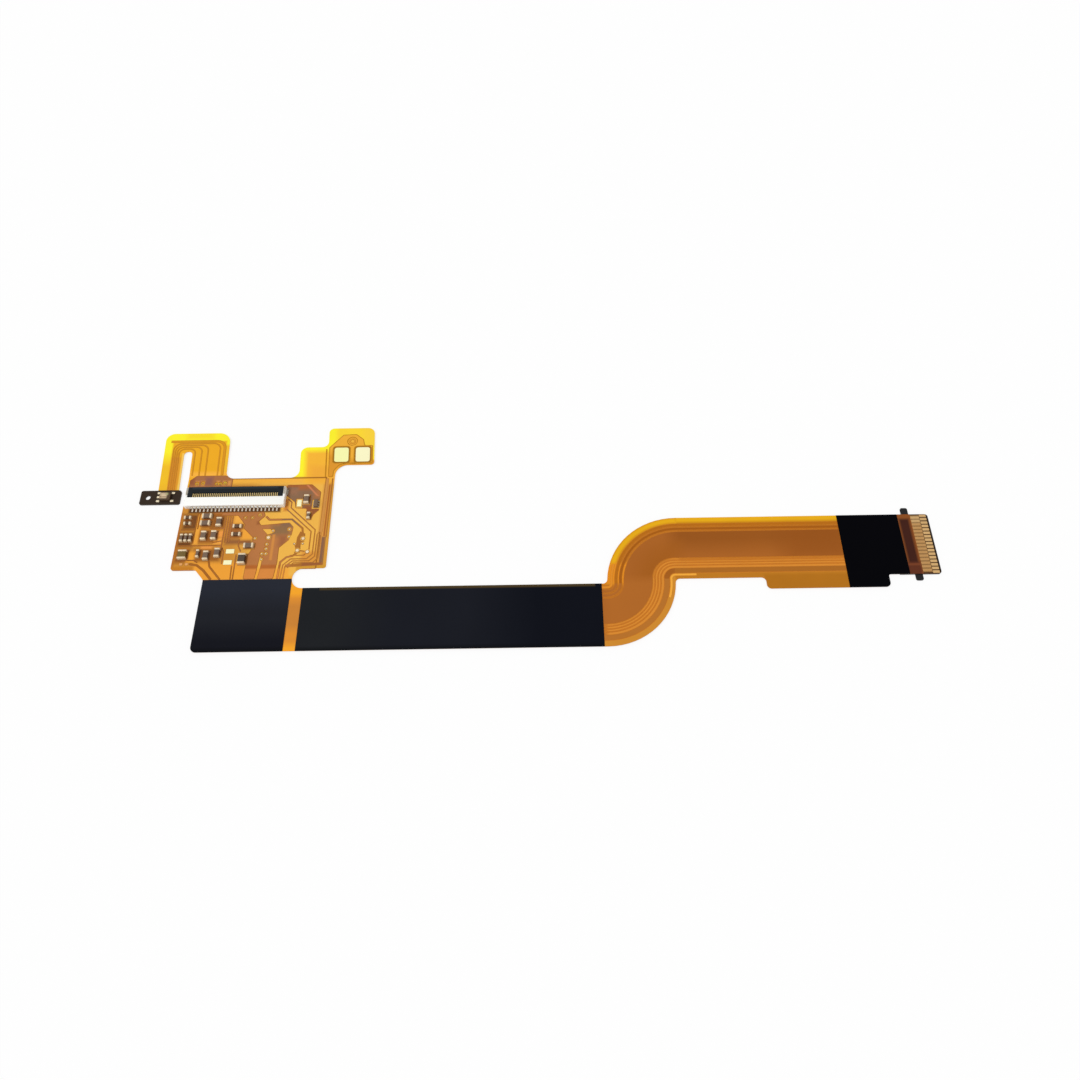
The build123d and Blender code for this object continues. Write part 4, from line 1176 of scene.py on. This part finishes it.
def mix_shaders(tree, share, first, second, output):
    """Blends two shaders by a share and links them to an output node's surface."""
    mix = tree.nodes.new("ShaderNodeMixShader")
    tree.links.new(share, mix.inputs[0])
    tree.links.new(first.outputs[0], mix.inputs[1])
    tree.links.new(second.outputs[0], mix.inputs[2])
    tree.links.new(mix.outputs[0], tree.nodes[output].inputs["Surface"])


def seen_share(tree):
    """White for rays that a viewer sees, also in a mirror or through glass."""
    path = tree.nodes.new("ShaderNodeLightPath")
    seen = path.outputs["Is Camera Ray"]
    for kind in ("Is Glossy Ray", "Is Transmission Ray"):
        seen = math_node(tree, "MAXIMUM", seen, path.outputs[kind])
    return seen


def stage_material():
    """White for the camera, while it still takes the cable's soft shadow."""
    material = bpy.data.materials.new("Stage white")
    material.use_nodes = True
    tree = material.node_tree
    nodes = tree.nodes
    shader = nodes["Principled BSDF"]
    shader.inputs["Base Color"].default_value = (0.96, 0.96, 0.96, 1)
    shader.inputs["Roughness"].default_value = 1
    shader.inputs["Specular IOR Level"].default_value = 0
    glow = nodes.new("ShaderNodeEmission")
    glow.inputs["Strength"].default_value = 1.0
    share = math_node(tree, "MULTIPLY", seen_share(tree), STAGE_GLOW)
    mix_shaders(tree, share, shader, glow, "Material Output")
    return material


def aim(place, target):
    """The turn that points a lamp or a camera from a place at a target."""
    return (Vector(target) - Vector(place)).to_track_quat("-Z", "Y")


def sun(scene, name, place, power):
    """A wide soft lamp that lights the whole cable evenly."""
    data = bpy.data.lights.new(name, "SUN")
    data.angle = radians(SUN_ANGLE)
    data.energy = power
    lamp = bpy.data.objects.new(name, data)
    lamp.location = place
    lamp.rotation_mode = "QUATERNION"
    lamp.rotation_quaternion = aim(place, (0, 0, 0))
    scene.collection.objects.link(lamp)


def add_camera(scene):
    """The photograph's view: from the front, 62 degrees above the table."""
    data = bpy.data.cameras.new("Camera")
    data.sensor_width = 36
    data.lens = LENS
    data.clip_start = 1 * MM
    data.clip_end = 20
    camera = bpy.data.objects.new("Camera", data)
    place, target = Vector(CAMERA_AT) * MM, Vector(CAMERA_TARGET) * MM
    camera.location = place
    camera.rotation_mode = "QUATERNION"
    roll = Matrix.Rotation(radians(CAMERA_ROLL), 3, "Z").to_quaternion()
    camera.rotation_quaternion = aim(place, target) @ roll
    scene.collection.objects.link(camera)
    scene.camera = camera


class FLEX_PT_panel(bpy.types.Panel):
    """Lists the steps that build the cable"""

    bl_label = "Flex cable"
    bl_idname = "FLEX_PT_panel"
    bl_space_type = "VIEW_3D"
    bl_region_type = "UI"
    bl_category = "Flex cable"

    def draw(self, context):
        column = self.layout.column()
        for step in STEPS:
            column.operator(step.bl_idname)
        for settings in (context.scene.flex_colours, context.scene.flex_sizes):
            for name in settings.bl_rna.properties.keys():
                if name not in ("rna_type", "name"):
                    column.prop(settings, name)


STEPS = (
    FLEX_OT_film,
    FLEX_OT_shields,
    FLEX_OT_copper,
    FLEX_OT_tail,
    FLEX_OT_pads,
    FLEX_OT_connector,
    FLEX_OT_chips,
    FLEX_OT_driver,
    FLEX_OT_sensor,
    FLEX_OT_stage,
)
CLASSES = (FlexColours, FlexSizes, *STEPS, FLEX_PT_panel)


def register():
    """Adds the classes and the scene's settings."""
    for item in CLASSES:
        bpy.utils.register_class(item)
    bpy.types.Scene.flex_colours = PointerProperty(type=FlexColours)
    bpy.types.Scene.flex_sizes = PointerProperty(type=FlexSizes)


def unregister():
    """Takes them away again."""
    del bpy.types.Scene.flex_colours
    del bpy.types.Scene.flex_sizes
    for item in reversed(CLASSES):
        bpy.utils.unregister_class(item)


def main():
    """Builds every piece in order."""
    register()
    build_zone_group()
    build_ring_group()
    build_mottle_group()
    bpy.ops.flex.film()
    bpy.ops.flex.shields()
    bpy.ops.flex.copper()
    bpy.ops.flex.tail()
    bpy.ops.flex.pads()
    bpy.ops.flex.connector()
    bpy.ops.flex.chips()
    bpy.ops.flex.driver()
    bpy.ops.flex.sensor()
    bpy.ops.flex.stage()


if __name__ == "__main__":
    main()
